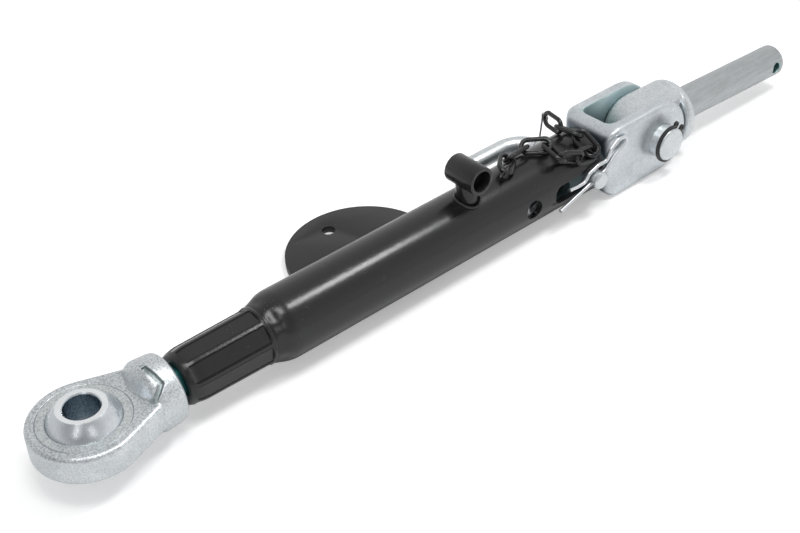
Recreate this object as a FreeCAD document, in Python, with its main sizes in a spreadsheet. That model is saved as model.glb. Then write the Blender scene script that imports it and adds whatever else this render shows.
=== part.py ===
import FreeCAD, Part
import math
import os
import re
import Sketcher

# Tractor stabilizer bar, millimetres
# X runs along the bar from the ball to the hinged pin, Z is up along the bore of the ball,
# and the origin is the centre of the ball.

SIZES = [
    ("ball_radius", 28.0, "spherical bearing, 56 mm ball"),
    ("ball_width", 44.0, "across the two flat ends of the ball"),
    ("bore_radius", 12.7, "bore of the ball, 25.4 mm"),
    ("bore_bevel", 1.2, "bevel at the ends of the ball's bore"),
    ("ball_play", 0.08, "radial play of the ball in its race"),
    ("race_radius", 33.0, "outside of the ball race"),
    ("eye_radius", 40.2, "outside of the forged eye"),
    ("eye_height", 23.0, "thickness of the forged eye"),
    ("eye_round", 3.5, "rounding of the eye's outer edges"),
    ("collar_start", 41.0, "start of the forged collar"),
    ("collar_end", 65.0, "face of the collar towards the tube"),
    ("collar_radius", 27.4, "round collar behind the eye"),
    ("stem_radius", 13.5, "threaded stem, outside of the thread"),
    ("stem_end", 128.0, "end of the threaded stem inside the neck"),
    ("thread_pitch", 3.0, "pitch of the stem's thread"),
    ("running_play", 0.05, "radial play of turning and sliding fits"),
    ("neck_start", 70.5, "open end of the swaged neck"),
    ("neck_radius", 19.2, "outside of the neck at its open end"),
    ("neck_swell", 15.0, "length over which the neck rounds down to its open end"),
    ("neck_belly_radius", 22.1, "outside of the neck where that rounding starts"),
    ("neck_finish", 138.5, "where the neck meets the shoulder"),
    ("neck_root_radius", 22.7, "outside of the neck at the shoulder"),
    ("tube_start", 161.5, "end of the shoulder, full tube from here"),
    ("tube_radius", 27.7, "outside of the outer tube"),
    ("tube_wall", 5.0, "wall of the outer tube"),
    ("tube_end", 476.5, "open end of the outer tube"),
    ("panel_count", 8, "pressed flats round the neck"),
    ("panel_depth", 1.5, "depth of a flat below the round neck"),
    ("panel_width", 14.6, "width of the press tool"),
    ("panel_turn", 7.5, "turn of the flats about the bar, degrees"),
    ("pin_hole_x", 395.0, "fixed locking hole"),
    ("slot_start", 419.0, "end of the float slot nearest the ball"),
    ("slot_finish", 472.0, "end of the float slot at the fork"),
    ("pin_radius", 7.5, "locking pin"),
    ("pin_hole_play", 0.6, "radial play of the locking pin in its holes"),
    ("pin_place", 463.5, "locking pin, as it is fitted"),
    ("hole_step", 31.0, "step of the cross holes in the inner bar"),
    ("hole_count", 6, "cross holes in the inner bar"),
    ("bar_start", 250.0, "inner end of the sliding bar"),
    ("bar_wall", 6.0, "wall of the sliding bar"),
    ("fork_back", 481.0, "back face of the fork"),
    ("web_thickness", 11.5, "web of the fork"),
    ("fork_half_width", 28.0, "outside of the fork's ears from the middle"),
    ("ear_thickness", 11.0, "each ear of the fork"),
    ("ear_radius", 33.0, "round end of the ears, and half their height"),
    ("fork_corner", 12.0, "outer corners of the fork seen from above"),
    ("fork_round", 4.5, "rounding along the outer edges of the ears"),
    ("fork_heel", 14.0, "rounded heel of the ears seen from the side"),
    ("pivot_x", 546.6, "pivot of the hinged pin"),
    ("pivot_radius", 14.4, "pivot pin"),
    ("pivot_reach", 40.6, "end of the pivot pin from the middle"),
    ("clip_place", 37.4, "snap ring on the pivot pin, from the middle"),
    ("clip_thickness", 1.8, "snap ring thickness"),
    ("clip_depth", 1.0, "depth of the snap ring's groove"),
    ("clip_band", 3.2, "radial width of the snap ring"),
    ("tongue_half_width", 16.6, "half the thickness of the hinged tongue"),
    ("tongue_radius", 28.0, "round end of the tongue"),
    ("tongue_bevel", 4.5, "bevel of the tongue's edges"),
    ("flange_start", 34.8, "back of the flange from the pivot"),
    ("flange_width", 10.4, "thickness of the flange"),
    ("flange_radius", 29.4, "flange at the root of the shank"),
    ("shank_radius", 14.5, "shank of the hinged pin"),
    ("shank_end", 191.5, "end of the shank from the pivot"),
    ("shank_bevel", 2.5, "bevel at the end of the shank"),
    ("split_hole_back", 12.0, "cross hole from the end of the shank"),
    ("split_hole_radius", 5.0, "cross hole for the spring cotter"),
    ("sag", 2.4, "droop of the hinged pin, degrees"),
    ("plate_x", 284.0, "centre of the round plate along the bar"),
    ("plate_y", 57.0, "centre of the round plate from the bar"),
    ("plate_radius", 63.0, "round plate"),
    ("plate_thickness", 6.0, "round plate"),
    ("plate_hole_x", 281.5, "small hole in the plate"),
    ("plate_hole_y", 98.0, "small hole in the plate"),
    ("plate_hole_radius", 5.5, "small hole in the plate"),
    ("weld_leg", 5.0, "leg of the weld beads"),
    ("rest_x", 341.5, "middle of the cross tube along the bar"),
    ("rest_y", -8.0, "middle of the cross tube's length"),
    ("rest_z", 50.0, "axis of the cross tube above the bar"),
    ("rest_length", 30.0, "length of the cross tube"),
    ("rest_radius", 11.6, "outside of the cross tube"),
    ("rest_bore", 8.6, "inside of the cross tube"),
    ("post_radius", 9.0, "post below the cross tube"),
    ("handle_reach", 56.0, "handle of the locking pin from the middle"),
    ("handle_bend", 25.0, "bend of the locking pin"),
    ("handle_end", 394.0, "free end of the handle"),
    ("lock_tip", 37.5, "tip of the locking pin from the middle"),
    ("cotter_place", 30.3, "spring cotter's plane from the middle"),
    ("cotter_wire", 1.7, "radius of the spring cotter's wire"),
    ("cotter_leg", 43.5, "straight leg of the cotter from the locking pin"),
    ("cotter_loop", 41.0, "far side of the cotter's loop from the locking pin"),
    ("cotter_turn", 17.5, "slope of the cotter's straight leg, degrees"),
    ("link_wire", 1.9, "radius of the chain's wire"),
    ("link_step", 19.2, "inner length of a link"),
    ("link_half_width", 5.8, "half the width of a link, to the wire's middle"),
    ("lug_x", 388.0, "chain lug on the tube"),
    ("tether_slack", 5, "play of the tether's ring round the locking pin"),
    ("tether_wire", 1.3, "radius of the tether's wire"),
]

doc = FreeCAD.newDocument("StabilizerBar")
sheet = doc.addObject("Spreadsheet::Sheet", "Sizes")
for row, (alias, number, note) in enumerate(SIZES, start=1):
    sheet.set("A%d" % row, note)
    sheet.set("B%d" % row, str(number))
    sheet.setAlias("B%d" % row, alias)
doc.recompute()

ALIASES = {alias for alias, number, note in SIZES}
TURNS = {
    "X": FreeCAD.Rotation(FreeCAD.Vector(0, 1, 0), 90),
    "Y": FreeCAD.Rotation(FreeCAD.Vector(1, 0, 0), -90),
    "Z": FreeCAD.Rotation(),
}
PARTS = []


def named(expression):
    """Put the sheet's name in front of each alias."""
    word = lambda found: "Sizes." + found[0] if found[0] in ALIASES else found[0]
    return re.sub(r"[a-z_]+", word, str(expression))


def value(expression):
    """The number that an expression gives now."""
    return float(sheet.evalExpression(named(expression)))


def bind(thing, **expressions):
    """Tie properties to the sheet."""
    for name, expression in expressions.items():
        thing.setExpression(name, named(expression))
    return thing


def place(thing, x=0, y=0, z=0, axis="Z"):
    """Put an object at a place bound to the sheet, its own Z along the axis."""
    thing.Placement = FreeCAD.Placement(FreeCAD.Vector(), TURNS[axis])
    for letter, expression in (("x", x), ("y", y), ("z", z)):
        thing.setExpression(".Placement.Base." + letter, named(expression))
    return thing


def part(thing, label):
    """Name a finished sub-part and keep it for the export."""
    thing.Label = label
    PARTS.append(thing)
    return thing


def cylinder(name, radius, height, x=0, y=0, z=0, axis="Z"):
    rod = doc.addObject("Part::Cylinder", name)
    bind(rod, Radius=radius, Height=height)
    return place(rod, x, y, z, axis)


def cone(name, radius, far_radius, height, x=0, y=0, z=0, axis="Z"):
    rod = doc.addObject("Part::Cone", name)
    bind(rod, Radius1=radius, Radius2=far_radius, Height=height)
    return place(rod, x, y, z, axis)


def box(name, length, width, height, x=0, y=0, z=0):
    block = doc.addObject("Part::Box", name)
    bind(block, Length=length, Width=width, Height=height)
    return place(block, x, y, z)


def fuse(name, pieces):
    joined = doc.addObject("Part::MultiFuse", name)
    joined.Shapes = pieces
    joined.Refine = True
    return joined


def cut(name, base, tool):
    left = doc.addObject("Part::Cut", name)
    left.Base = base
    left.Tool = tool
    left.Refine = True
    return left


def new_body(label):
    body = doc.addObject("PartDesign::Body", label)
    return part(body, label)


def sketch_on(body, role, name):
    """A sketch on one of the body's own origin planes."""
    sketch = body.newObject("Sketcher::SketchObject", name)
    plane = [p for p in body.Origin.OriginFeatures if p.Role == role][0]
    sketch.AttachmentSupport = [(plane, "")]
    sketch.MapMode = "FlatFace"
    doc.recompute()
    return sketch


def pin_point(sketch, index, end, across, up):
    """Hold a point of the sketch at two expressions."""
    for kind, axis, expression in (("DistanceX", -2, across), ("DistanceY", -1, up)):
        if abs(value(expression)) < 1e-9:
            sketch.addConstraint(Sketcher.Constraint("PointOnObject", index, end, axis))
            continue
        fixed = sketch.addConstraint(
            Sketcher.Constraint(kind, -1, 1, index, end, value(expression)))
        sketch.setExpression("Constraints[%d]" % fixed, named(expression))


def edge_between(start, finish, bend):
    """A line, or an arc whose centre is left (+) or right (-) of the way along it."""
    if bend is None:
        return Part.LineSegment(start, finish)
    radius, side = value(bend[0]), bend[1]
    chord = finish - start
    half = chord.Length / 2
    off = FreeCAD.Vector(-chord.y, chord.x, 0).normalize()
    off = off * side * math.sqrt(max(radius ** 2 - half ** 2, 0))
    centre = (start + finish) / 2 + off
    first = math.atan2(start.y - centre.y, start.x - centre.x)
    last = math.atan2(finish.y - centre.y, finish.x - centre.x)
    circle = Part.Circle(centre, FreeCAD.Vector(0, 0, 1), radius)
    if side < 0:
        first, last = last, first
    return Part.ArcOfCircle(circle, first, last)


def hold_middle(sketch, index, corner, upright):
    """Hold the centre of a half circle level with its ends."""
    kind, axis, expression = ("DistanceX", -2, corner[0]) if upright else (
        "DistanceY", -1, corner[1])
    if abs(value(expression)) < 1e-9:
        sketch.addConstraint(Sketcher.Constraint("PointOnObject", index, 3, axis))
        return
    fixed = sketch.addConstraint(
        Sketcher.Constraint(kind, -1, 1, index, 3, value(expression)))
    sketch.setExpression("Constraints[%d]" % fixed, named(expression))


def outline(sketch, corners, closed=True):
    """Draw an outline. A corner is (across, up) or (across, up, (radius, side)),
    where the last says how the edge to the next corner bends."""
    points = [FreeCAD.Vector(value(c[0]), value(c[1]), 0) for c in corners]
    count = len(corners) if closed else len(corners) - 1
    ends = []
    for i in range(count):
        bend = corners[i][2] if len(corners[i]) > 2 else None
        index = sketch.addGeometry(
            edge_between(points[i], points[(i + 1) % len(points)], bend), False)
        ends.append((index, 2, 1) if bend and bend[1] < 0 else (index, 1, 2))
        after = points[(i + 1) % len(points)]
        if bend and abs((after - points[i]).Length - 2 * value(bend[0])) < 1e-6:
            hold_middle(sketch, index, corners[i], after.x == points[i].x)
        elif bend:
            fixed = sketch.addConstraint(
                Sketcher.Constraint("Radius", index, value(bend[0])))
            sketch.setExpression("Constraints[%d]" % fixed, named(bend[0]))
    for i, (index, begin, finish) in enumerate(ends):
        pin_point(sketch, index, begin, corners[i][0], corners[i][1])
        if closed or i + 1 < count:
            after = ends[(i + 1) % count]
            sketch.addConstraint(
                Sketcher.Constraint("Coincident", index, finish, after[0], after[1]))
    if not closed:
        pin_point(sketch, ends[-1][0], ends[-1][2], corners[-1][0], corners[-1][1])
    doc.recompute()
    return sketch


def ring(sketch, radius, across=0, up=0):
    """Draw a circle bound to the sheet."""
    centre = FreeCAD.Vector(value(across), value(up), 0)
    index = sketch.addGeometry(
        Part.Circle(centre, FreeCAD.Vector(0, 0, 1), value(radius)), False)
    fixed = sketch.addConstraint(Sketcher.Constraint("Radius", index, value(radius)))
    sketch.setExpression("Constraints[%d]" % fixed, named(radius))
    pin_point(sketch, index, 3, across, up)
    return sketch


def revolve(body, sketch, name, axis="H_Axis", kind="Revolution"):
    turn = body.newObject("PartDesign::" + kind, name)
    turn.Profile = sketch
    turn.ReferenceAxis = (sketch, [axis])
    turn.Angle = 360
    doc.recompute()
    return turn


def pad(body, sketch, name, length):
    """Pad a sketch by a length, half to each side."""
    grown = body.newObject("PartDesign::Pad", name)
    grown.Profile = sketch
    grown.SideType = "Symmetric"
    bind(grown, Length=length)
    doc.recompute()
    return grown


def pocket(body, sketch, name, length):
    """Cut a sketch out by a length, half to each side."""
    before = body.Shape.Volume
    sunk = body.newObject("PartDesign::Pocket", name)
    sunk.Profile = sketch
    sunk.SideType = "Symmetric"
    bind(sunk, Length=length)
    doc.recompute()
    if body.Shape.Volume > before - 1e-3:
        raise RuntimeError(name + " cuts nothing")
    return sunk


def dress(body, kind, name, test, size):
    """Round or bevel the body's edges that pass a test."""
    base = body.Tip
    edges = ["Edge%d" % (i + 1) for i, edge in enumerate(base.Shape.Edges) if test(edge)]
    feature = body.newObject("PartDesign::" + kind, name)
    feature.Base = (base, edges)
    bind(feature, **{"Radius" if kind == "Fillet" else "Size": size})
    doc.recompute()
    return feature


def pipe(body, path, profile, name):
    """Sweep a profile along a path."""
    swept = body.newObject("PartDesign::AdditivePipe", name)
    swept.Profile = profile
    swept.Spine = path
    swept.Mode = "Frenet"
    doc.recompute()
    return swept


# Ball, with its flat ends and bevelled bore

ball = new_body("ball")
flat = "sqrt(ball_radius ^ 2 - (ball_width / 2) ^ 2)"
bevel = "min(bore_bevel; (%s - bore_radius) / 2)" % flat
section = outline(sketch_on(ball, "XZ_Plane", "BallSection"), [
    ("bore_radius", bevel + " - ball_width / 2"),
    ("bore_radius + " + bevel, "-ball_width / 2"),
    (flat, "-ball_width / 2", ("ball_radius", 1)),
    (flat, "ball_width / 2"),
    ("bore_radius + " + bevel, "ball_width / 2"),
    ("bore_radius", "ball_width / 2 - " + bevel),
])
revolve(ball, section, "BallTurned", "V_Axis")

# Race that holds the ball in the eye

race = new_body("ball_race")
lip = "sqrt((ball_radius + ball_play) ^ 2 - (eye_height / 2) ^ 2)"
section = outline(sketch_on(race, "XZ_Plane", "RaceSection"), [
    (lip, "-eye_height / 2"),
    ("race_radius", "-eye_height / 2"),
    ("race_radius", "eye_height / 2"),
    (lip, "eye_height / 2", ("ball_radius + ball_play", -1)),
])
revolve(race, section, "RaceTurned", "V_Axis")

# Forged eye: ring, waist, round collar and threaded stem in one piece

eye = new_body("ball_eye")
waist = "collar_radius - 2.8"
shoulder_x = "0.37 * eye_radius"
shoulder_y = "0.92903 * eye_radius"
plan = outline(sketch_on(eye, "XY_Plane", "EyePlan"), [
    (shoulder_x, shoulder_y, ("eye_radius", 1)),
    ("-eye_radius", 0, ("eye_radius", 1)),
    (shoulder_x, "-" + shoulder_y),
    ("collar_start + 8", "-(" + waist + ")"),
    ("collar_start + 8", waist),
])
pad(eye, plan, "EyeForging", "eye_height")
dress(eye, "Fillet", "EyeRound", lambda edge: edge.BoundBox.ZLength < 1e-4
      and abs(abs(edge.BoundBox.Center.z) - value("eye_height / 2")) < 1e-4
      and edge.BoundBox.XMin < value("collar_start"), "eye_round")
section = outline(sketch_on(eye, "XY_Plane", "CollarSection"), [
    ("collar_start - 4", 0),
    ("collar_start - 4", "eye_height / 2 - 0.5"),
    ("collar_start + 1.5", "collar_radius - 3.4", ("8", -1)),
    ("collar_start + 7.5", "collar_radius"),
    ("collar_end - 5", "collar_radius - 0.7"),
    ("collar_end - 1.5", "collar_radius - 1.6"),
    ("collar_end", "collar_radius - 3.4"),
    ("collar_end", "stem_radius"),
    ("stem_end - 2", "stem_radius"),
    ("stem_end", "stem_radius - 2"),
    ("stem_end", 0),
])
revolve(eye, section, "CollarAndStem")
pocket(eye, ring(sketch_on(eye, "XY_Plane", "EyeBore"), "race_radius"), "RaceSeat",
       "eye_height * 3")

# Outer tube: round tube drawn down to an eight-sided neck, with the fixed hole and the slot

tube = new_body("outer_tube")
droop = "(neck_belly_radius - neck_radius)"
crown = "((neck_swell - 1) ^ 2 + %s ^ 2) / (2 * %s)" % (droop, droop)
swell = "(tube_start - neck_finish)"
rise = "(tube_radius - neck_root_radius)"
blend = "(%s ^ 2 + %s ^ 2) / (4 * %s)" % (swell, rise, rise)
section = outline(sketch_on(tube, "XY_Plane", "TubeSection"), [
    ("neck_start", "stem_radius + running_play"),
    ("neck_start", "neck_radius - 1"),
    ("neck_start + 1", "neck_radius", (crown, -1)),
    ("neck_start + neck_swell", "neck_belly_radius"),
    ("neck_finish", "neck_root_radius", (blend, 1)),
    ("(neck_finish + tube_start) / 2", "(neck_root_radius + tube_radius) / 2", (blend, -1)),
    ("tube_start", "tube_radius"),
    ("tube_end", "tube_radius"),
    ("tube_end", "tube_radius - tube_wall"),
    ("tube_start + 6", "tube_radius - tube_wall"),
    ("neck_finish + 4", "stem_radius + running_play"),
])
revolve(tube, section, "TubeDrawn")
flat_sketch = sketch_on(tube, "XY_Plane", "FlatSection")
flat_sketch.AttachmentOffset = FreeCAD.Placement(
    FreeCAD.Vector(), FreeCAD.Vector(1, 0, 0), value("panel_turn"))
flat_sketch.setExpression(".AttachmentOffset.Rotation.Angle", named("panel_turn"))
outline(flat_sketch, [
    ("neck_start + 4.5", "neck_radius + 1.2 - panel_depth"),
    ("neck_start + neck_swell", "neck_belly_radius - panel_depth"),
    ("neck_finish + 1", "neck_root_radius - panel_depth", ("10", 1)),
    ("neck_finish + 10", "neck_root_radius + 6"),
    ("neck_finish + 10", "tube_radius + 8"),
    ("neck_start + 4.5", "tube_radius + 8"),
])
pressed = pocket(tube, flat_sketch, "PressedFlat", "panel_width")
flats = tube.newObject("PartDesign::PolarPattern", "PressedFlats")
flats.Originals = [pressed]
flats.Axis = (section, ["H_Axis"])
flats.Angle = 360
bind(flats, Occurrences="panel_count")
tube.Tip = flats
doc.recompute()
pocket(tube, ring(sketch_on(tube, "XZ_Plane", "FixedHole"), "pin_radius + pin_hole_play",
                  "pin_hole_x", 0), "FixedHoleCut", "tube_radius * 3")
hole = "(pin_radius + pin_hole_play)"
slot = outline(sketch_on(tube, "XZ_Plane", "SlotShape"), [
    ("slot_start + " + hole, hole),
    ("slot_finish - " + hole, hole, (hole, -1)),
    ("slot_finish - " + hole, "-" + hole),
    ("slot_start + " + hole, "-" + hole, (hole, -1)),
])
pocket(tube, slot, "SlotCut", "tube_radius * 3")

# Sliding bar inside the tube, let into the web of the fork

bar_radius = "(tube_radius - tube_wall - running_play)"
bar_end = "(fork_back + web_thickness - 4)"
bar_length = bar_end + " - bar_start"
rod = cylinder("BarRod", bar_radius, bar_length, "bar_start", axis="X")
hollow = [cylinder("BarBore", bar_radius + " - bar_wall", bar_length + " + 2",
                   "bar_start - 1", axis="X")]
for i in range(int(value("hole_count"))):
    hollow.append(cylinder("BarHole%d" % i, hole, bar_radius + " * 3",
                           "pin_place - %d * hole_step" % i, "-1.5 * " + bar_radius, axis="Y"))
part(cut("SlidingBar", rod, fuse("BarHollow", hollow)), "sliding_bar")

# Fork: a forged U with rounded corners, round ear ends and a bored web

fork = new_body("fork")
inner = "(fork_half_width - ear_thickness)"
far_x = "(pivot_x + ear_radius + 4)"
plan = outline(sketch_on(fork, "XY_Plane", "ForkPlan"), [
    ("fork_back", "fork_corner - fork_half_width", ("fork_corner", 1)),
    ("fork_back + fork_corner", "-fork_half_width"),
    (far_x, "-fork_half_width"),
    (far_x, "-" + inner),
    ("fork_back + web_thickness + 7", "-" + inner, ("7", -1)),
    ("fork_back + web_thickness", "7 - " + inner),
    ("fork_back + web_thickness", inner + " - 7", ("7", -1)),
    ("fork_back + web_thickness + 7", inner),
    (far_x, inner),
    (far_x, "fork_half_width"),
    ("fork_back + fork_corner", "fork_half_width", ("fork_corner", 1)),
    ("fork_back", "fork_half_width - fork_corner"),
])
pad(fork, plan, "ForkForging", "ear_radius * 2")
side = sketch_on(fork, "XZ_Plane", "ForkSide")
outline(side, [
    ("pivot_x", "ear_radius", ("ear_radius", -1)),
    ("pivot_x", "-ear_radius"),
    ("pivot_x", "-ear_radius - 5"),
    (far_x + " + 5", "-ear_radius - 5"),
    (far_x + " + 5", "ear_radius + 5"),
    ("pivot_x", "ear_radius + 5"),
])
for sign, turn in (("", 1), ("-", -1)):
    outline(side, [
        ("fork_back", sign + "(ear_radius - fork_heel)", ("fork_heel", -turn)),
        ("fork_back + fork_heel", sign + "ear_radius"),
        ("fork_back + fork_heel", sign + "(ear_radius + 5)"),
        ("fork_back - 5", sign + "(ear_radius + 5)"),
        ("fork_back - 5", sign + "(ear_radius - fork_heel)"),
    ])
pocket(fork, side, "ForkTrim", "fork_half_width * 3")
dress(fork, "Fillet", "ForkRound", lambda edge: edge.BoundBox.YLength < 1e-4
      and abs(abs(edge.BoundBox.Center.y) - value("fork_half_width")) < 1e-4
      and edge.BoundBox.XLength > 1, "fork_round")
pocket(fork, ring(sketch_on(fork, "XZ_Plane", "PivotBore"), "pivot_radius + running_play",
                  "pivot_x", 0), "PivotBoreCut", "fork_half_width * 3")
web_bore = sketch_on(fork, "YZ_Plane", "WebBore")
web_bore.AttachmentOffset = FreeCAD.Placement(
    FreeCAD.Vector(0, 0, value("fork_back")), FreeCAD.Rotation())
web_bore.setExpression(".AttachmentOffset.Base.z", named("fork_back"))
pocket(fork, ring(web_bore, bar_radius), "WebBoreCut", "web_thickness * 3")

# Weld that closes the joint between bar and web on the crotch side

bead = new_body("fork_weld")
section = outline(sketch_on(bead, "XY_Plane", "ForkWeldSection"), [
    (bar_end, bar_radius + " - 5"),
    (bar_end, bar_radius),
    ("fork_back + web_thickness", bar_radius, ("6", 1)),
    (bar_end + " + 4.6", bar_radius + " - 5"),
])
revolve(bead, section, "ForkWeldTurned")

# Pivot pin with a snap ring near each end

pivot = new_body("pivot_pin")
place(pivot, "pivot_x")
groove = "(pivot_radius - clip_depth)"
near = "(clip_place - clip_thickness / 2 - 0.05)"
far = "(clip_place + clip_thickness / 2 + 0.05)"
section = outline(sketch_on(pivot, "XY_Plane", "PivotSection"), [
    (0, "-pivot_reach"),
    ("pivot_radius - 1", "-pivot_reach"),
    ("pivot_radius", "1 - pivot_reach"),
    ("pivot_radius", "-" + far),
    (groove, "-" + far),
    (groove, "-" + near),
    ("pivot_radius", "-" + near),
    ("pivot_radius", near),
    (groove, near),
    (groove, far),
    ("pivot_radius", far),
    ("pivot_radius", "pivot_reach - 1"),
    ("pivot_radius - 1", "pivot_reach"),
    (0, "pivot_reach"),
])
revolve(pivot, section, "PivotTurned", "V_Axis")


def snap_ring(label, middle):
    """An open ring with two lugs, lying in the groove at one end of the pivot pin."""
    start = "%s - clip_thickness / 2" % middle
    outer = "(%s + clip_band)" % groove
    disc = cylinder(label + "_disc", outer, "clip_thickness", "pivot_x", start, axis="Y")
    lugs = []
    tools = [cylinder(label + "_bore", groove + " + 0.05", "clip_thickness * 3", "pivot_x",
                      "%s - clip_thickness * 1.5" % middle, axis="Y")]
    for sign in ("-", "+"):
        across = "pivot_x %s 5" % sign
        height = outer + " + 0.4"
        lugs.append(cylinder("%s_lug%d" % (label, len(lugs)), "2.6", "clip_thickness",
                             across, start, height, axis="Y"))
        tools.append(cylinder("%s_eye%d" % (label, len(lugs)), "1.1",
                              "clip_thickness * 3", across,
                              "%s - clip_thickness * 1.5" % middle, height, axis="Y"))
    tools.append(box(label + "_gap", "4.8", "clip_thickness * 3", "pivot_radius * 2",
                     "pivot_x - 2.4", "%s - clip_thickness * 1.5" % middle, 0))
    clip = part(cut(label + "_cut", fuse(label + "_round", [disc] + lugs),
                    fuse(label + "_tools", tools)), label)
    clip.Placement.Rotation = FreeCAD.Rotation(FreeCAD.Vector(0, 1, 0), 40)
    clip.setExpression(".Placement.Base.x", named("pivot_x") + " * 0.233956")
    clip.setExpression(".Placement.Base.z", named("pivot_x") + " * 0.642788")
    return clip


snap_ring("snap_ring_near", "-clip_place")
snap_ring("snap_ring_far", "clip_place")

# Hinged pin: tongue, flange and shank forged in one piece, drooping a little

hinged = new_body("hinged_pin")
hinged.Placement = FreeCAD.Placement(
    FreeCAD.Vector(value("pivot_x"), 0, 0), FreeCAD.Vector(0, 1, 0), value("sag"))
hinged.setExpression(".Placement.Base.x", named("pivot_x"))
hinged.setExpression(".Placement.Rotation.Angle", named("sag"))
tongue = outline(sketch_on(hinged, "XZ_Plane", "TongueShape"), [
    (0, "tongue_radius"),
    ("flange_start + 2", "tongue_radius"),
    ("flange_start + 2", "-tongue_radius"),
    (0, "-tongue_radius", ("tongue_radius", -1)),
])
pad(hinged, tongue, "Tongue", "tongue_half_width * 2")
dress(hinged, "Chamfer", "TongueBevel",
      lambda edge: edge.BoundBox.YLength < 1e-4 and edge.BoundBox.XMin < -1e-4,
      "tongue_bevel")
root = "(flange_start + flange_width)"
section = outline(sketch_on(hinged, "XY_Plane", "ShankSection"), [
    ("flange_start", 0),
    ("flange_start", "flange_radius - 4", ("4", -1)),
    ("flange_start + 4", "flange_radius"),
    (root + " - 4", "flange_radius", ("4", -1)),
    (root, "flange_radius - 4"),
    (root, "shank_radius + 3", ("3", 1)),
    (root + " + 3", "shank_radius"),
    ("shank_end - shank_bevel", "shank_radius"),
    ("shank_end", "shank_radius - shank_bevel"),
    ("shank_end", 0),
])
revolve(hinged, section, "FlangeAndShank")
pocket(hinged, ring(sketch_on(hinged, "XZ_Plane", "TongueBore"),
                    "pivot_radius + running_play"), "TongueBoreCut", "fork_half_width * 3")
pocket(hinged, ring(sketch_on(hinged, "XZ_Plane", "SplitHole"), "split_hole_radius",
                    "shank_end - split_hole_back", 0), "SplitHoleCut", "shank_radius * 4")

# Round plate welded under the tube

plate = new_body("round_plate")
place(plate, 0, 0, "-tube_radius - plate_thickness / 2")
plan = ring(sketch_on(plate, "XY_Plane", "PlatePlan"), "plate_radius", "plate_x", "plate_y")
ring(plan, "plate_hole_radius", "plate_hole_x", "plate_hole_y")
pad(plate, plan, "PlateCut", "plate_thickness")
solid_tube = cylinder("TubeSolid", "tube_radius", "tube_end - tube_start", "tube_start",
                      axis="X")


def side_bead(name, radius, half_length, across):
    """A bead of weld in the corner between the tube and the top of the round plate."""
    rod = cylinder(name, radius, "%s * 2" % half_length, "plate_x - " + half_length,
                   across, "-tube_radius", axis="X")
    return rod


under = box("PlateLevel", "plate_radius * 3", "plate_radius * 3", "tube_radius",
            "plate_x - plate_radius * 1.5", "-plate_radius", "-tube_radius * 2")
part(cut("PlateWeldCut", fuse("PlateBeads", [
    side_bead("PlateBeadFar", "weld_leg", "26", "weld_leg * 1.9"),
    side_bead("PlateBeadNear", "weld_leg * 0.45", "12",
              "plate_y - plate_radius + weld_leg * 0.45"),
]), fuse("PlateWeldTools", [solid_tube, under])), "plate_weld")

# Cross tube on a short post above the bar

rest_tube = cylinder("RestTubeRod", "rest_radius", "rest_length", "rest_x",
                     "rest_y - rest_length / 2", "rest_z", axis="Y")
part(cut("RestTube", rest_tube,
         cylinder("RestTubeBore", "rest_bore", "rest_length + 2", "rest_x",
                  "rest_y - rest_length / 2 - 1", "rest_z", axis="Y")), "cross_tube")
post = cylinder("PostRod", "post_radius", "rest_z", "rest_x", "rest_y + 2", 0)
around = fuse("PostTools", [
    cylinder("PostTube", "tube_radius", "plate_radius * 2", "rest_x - plate_radius",
             axis="X"),
    cylinder("PostRest", "rest_radius", "plate_radius * 2", "rest_x", "-plate_radius",
             "rest_z", axis="Y"),
])
part(cut("Post", post, around), "cross_tube_post")
skirt = cone("PostSkirt", "post_radius + weld_leg * 1.6", "post_radius",
             "weld_leg * 1.8", "rest_x", "rest_y + 2", "tube_radius - weld_leg * 0.9")
part(cut("PostWeldCut", skirt, fuse("PostWeldTools", [
    cylinder("PostWeldTube", "tube_radius", "plate_radius * 2", "rest_x - plate_radius",
             axis="X"),
    cylinder("PostWeldCore", "post_radius", "rest_z", "rest_x", "rest_y + 2", 0),
])), "cross_tube_weld")

# Locking pin: bent rod through tube, slot and bar, its handle lying along the far side

rod = doc.addObject("PartDesign::Body", "LockRod")
path = outline(sketch_on(rod, "XY_Plane", "LockPath"), [
    ("pin_place", "-lock_tip"),
    ("pin_place", "handle_reach - handle_bend", ("handle_bend", 1)),
    ("pin_place - handle_bend", "handle_reach"),
    ("handle_end", "handle_reach"),
], closed=False)
profile = sketch_on(rod, "XZ_Plane", "LockProfile")
profile.AttachmentOffset = FreeCAD.Placement(
    FreeCAD.Vector(0, 0, value("lock_tip")), FreeCAD.Rotation())
profile.setExpression(".AttachmentOffset.Base.z", named("lock_tip"))
pipe(rod, path, ring(profile, "pin_radius", "pin_place"), "LockSweep")
dress(rod, "Chamfer", "LockBevel",
      lambda edge: edge.BoundBox.YLength < 1e-3 or
      (edge.BoundBox.XLength < 1e-3 and edge.BoundBox.Center.x < value("handle_end") + 1),
      "1.5")


def leaning(thing, x, y, z, lean):
    """Turn a rod that stands along X up from the bar by an angle of the sheet."""
    thing.Placement = FreeCAD.Placement(
        FreeCAD.Vector(), FreeCAD.Vector(0, 1, 0), 90 - value(lean))
    thing.setExpression(".Placement.Rotation.Angle", named("90 - " + lean))
    for letter, expression in (("x", x), ("y", y), ("z", z)):
        thing.setExpression(".Placement.Base." + letter, named(expression))
    return thing


cotter_hole = cylinder("CotterHole", "cotter_wire + 0.05", "pin_radius * 4")
leaning(cotter_hole, "pin_place - pin_radius * 2 * cos(cotter_turn)", "-cotter_place",
        "-pin_radius * 2 * sin(cotter_turn)", "cotter_turn")
part(cut("LockPin", rod, cotter_hole), "locking_pin")


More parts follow.
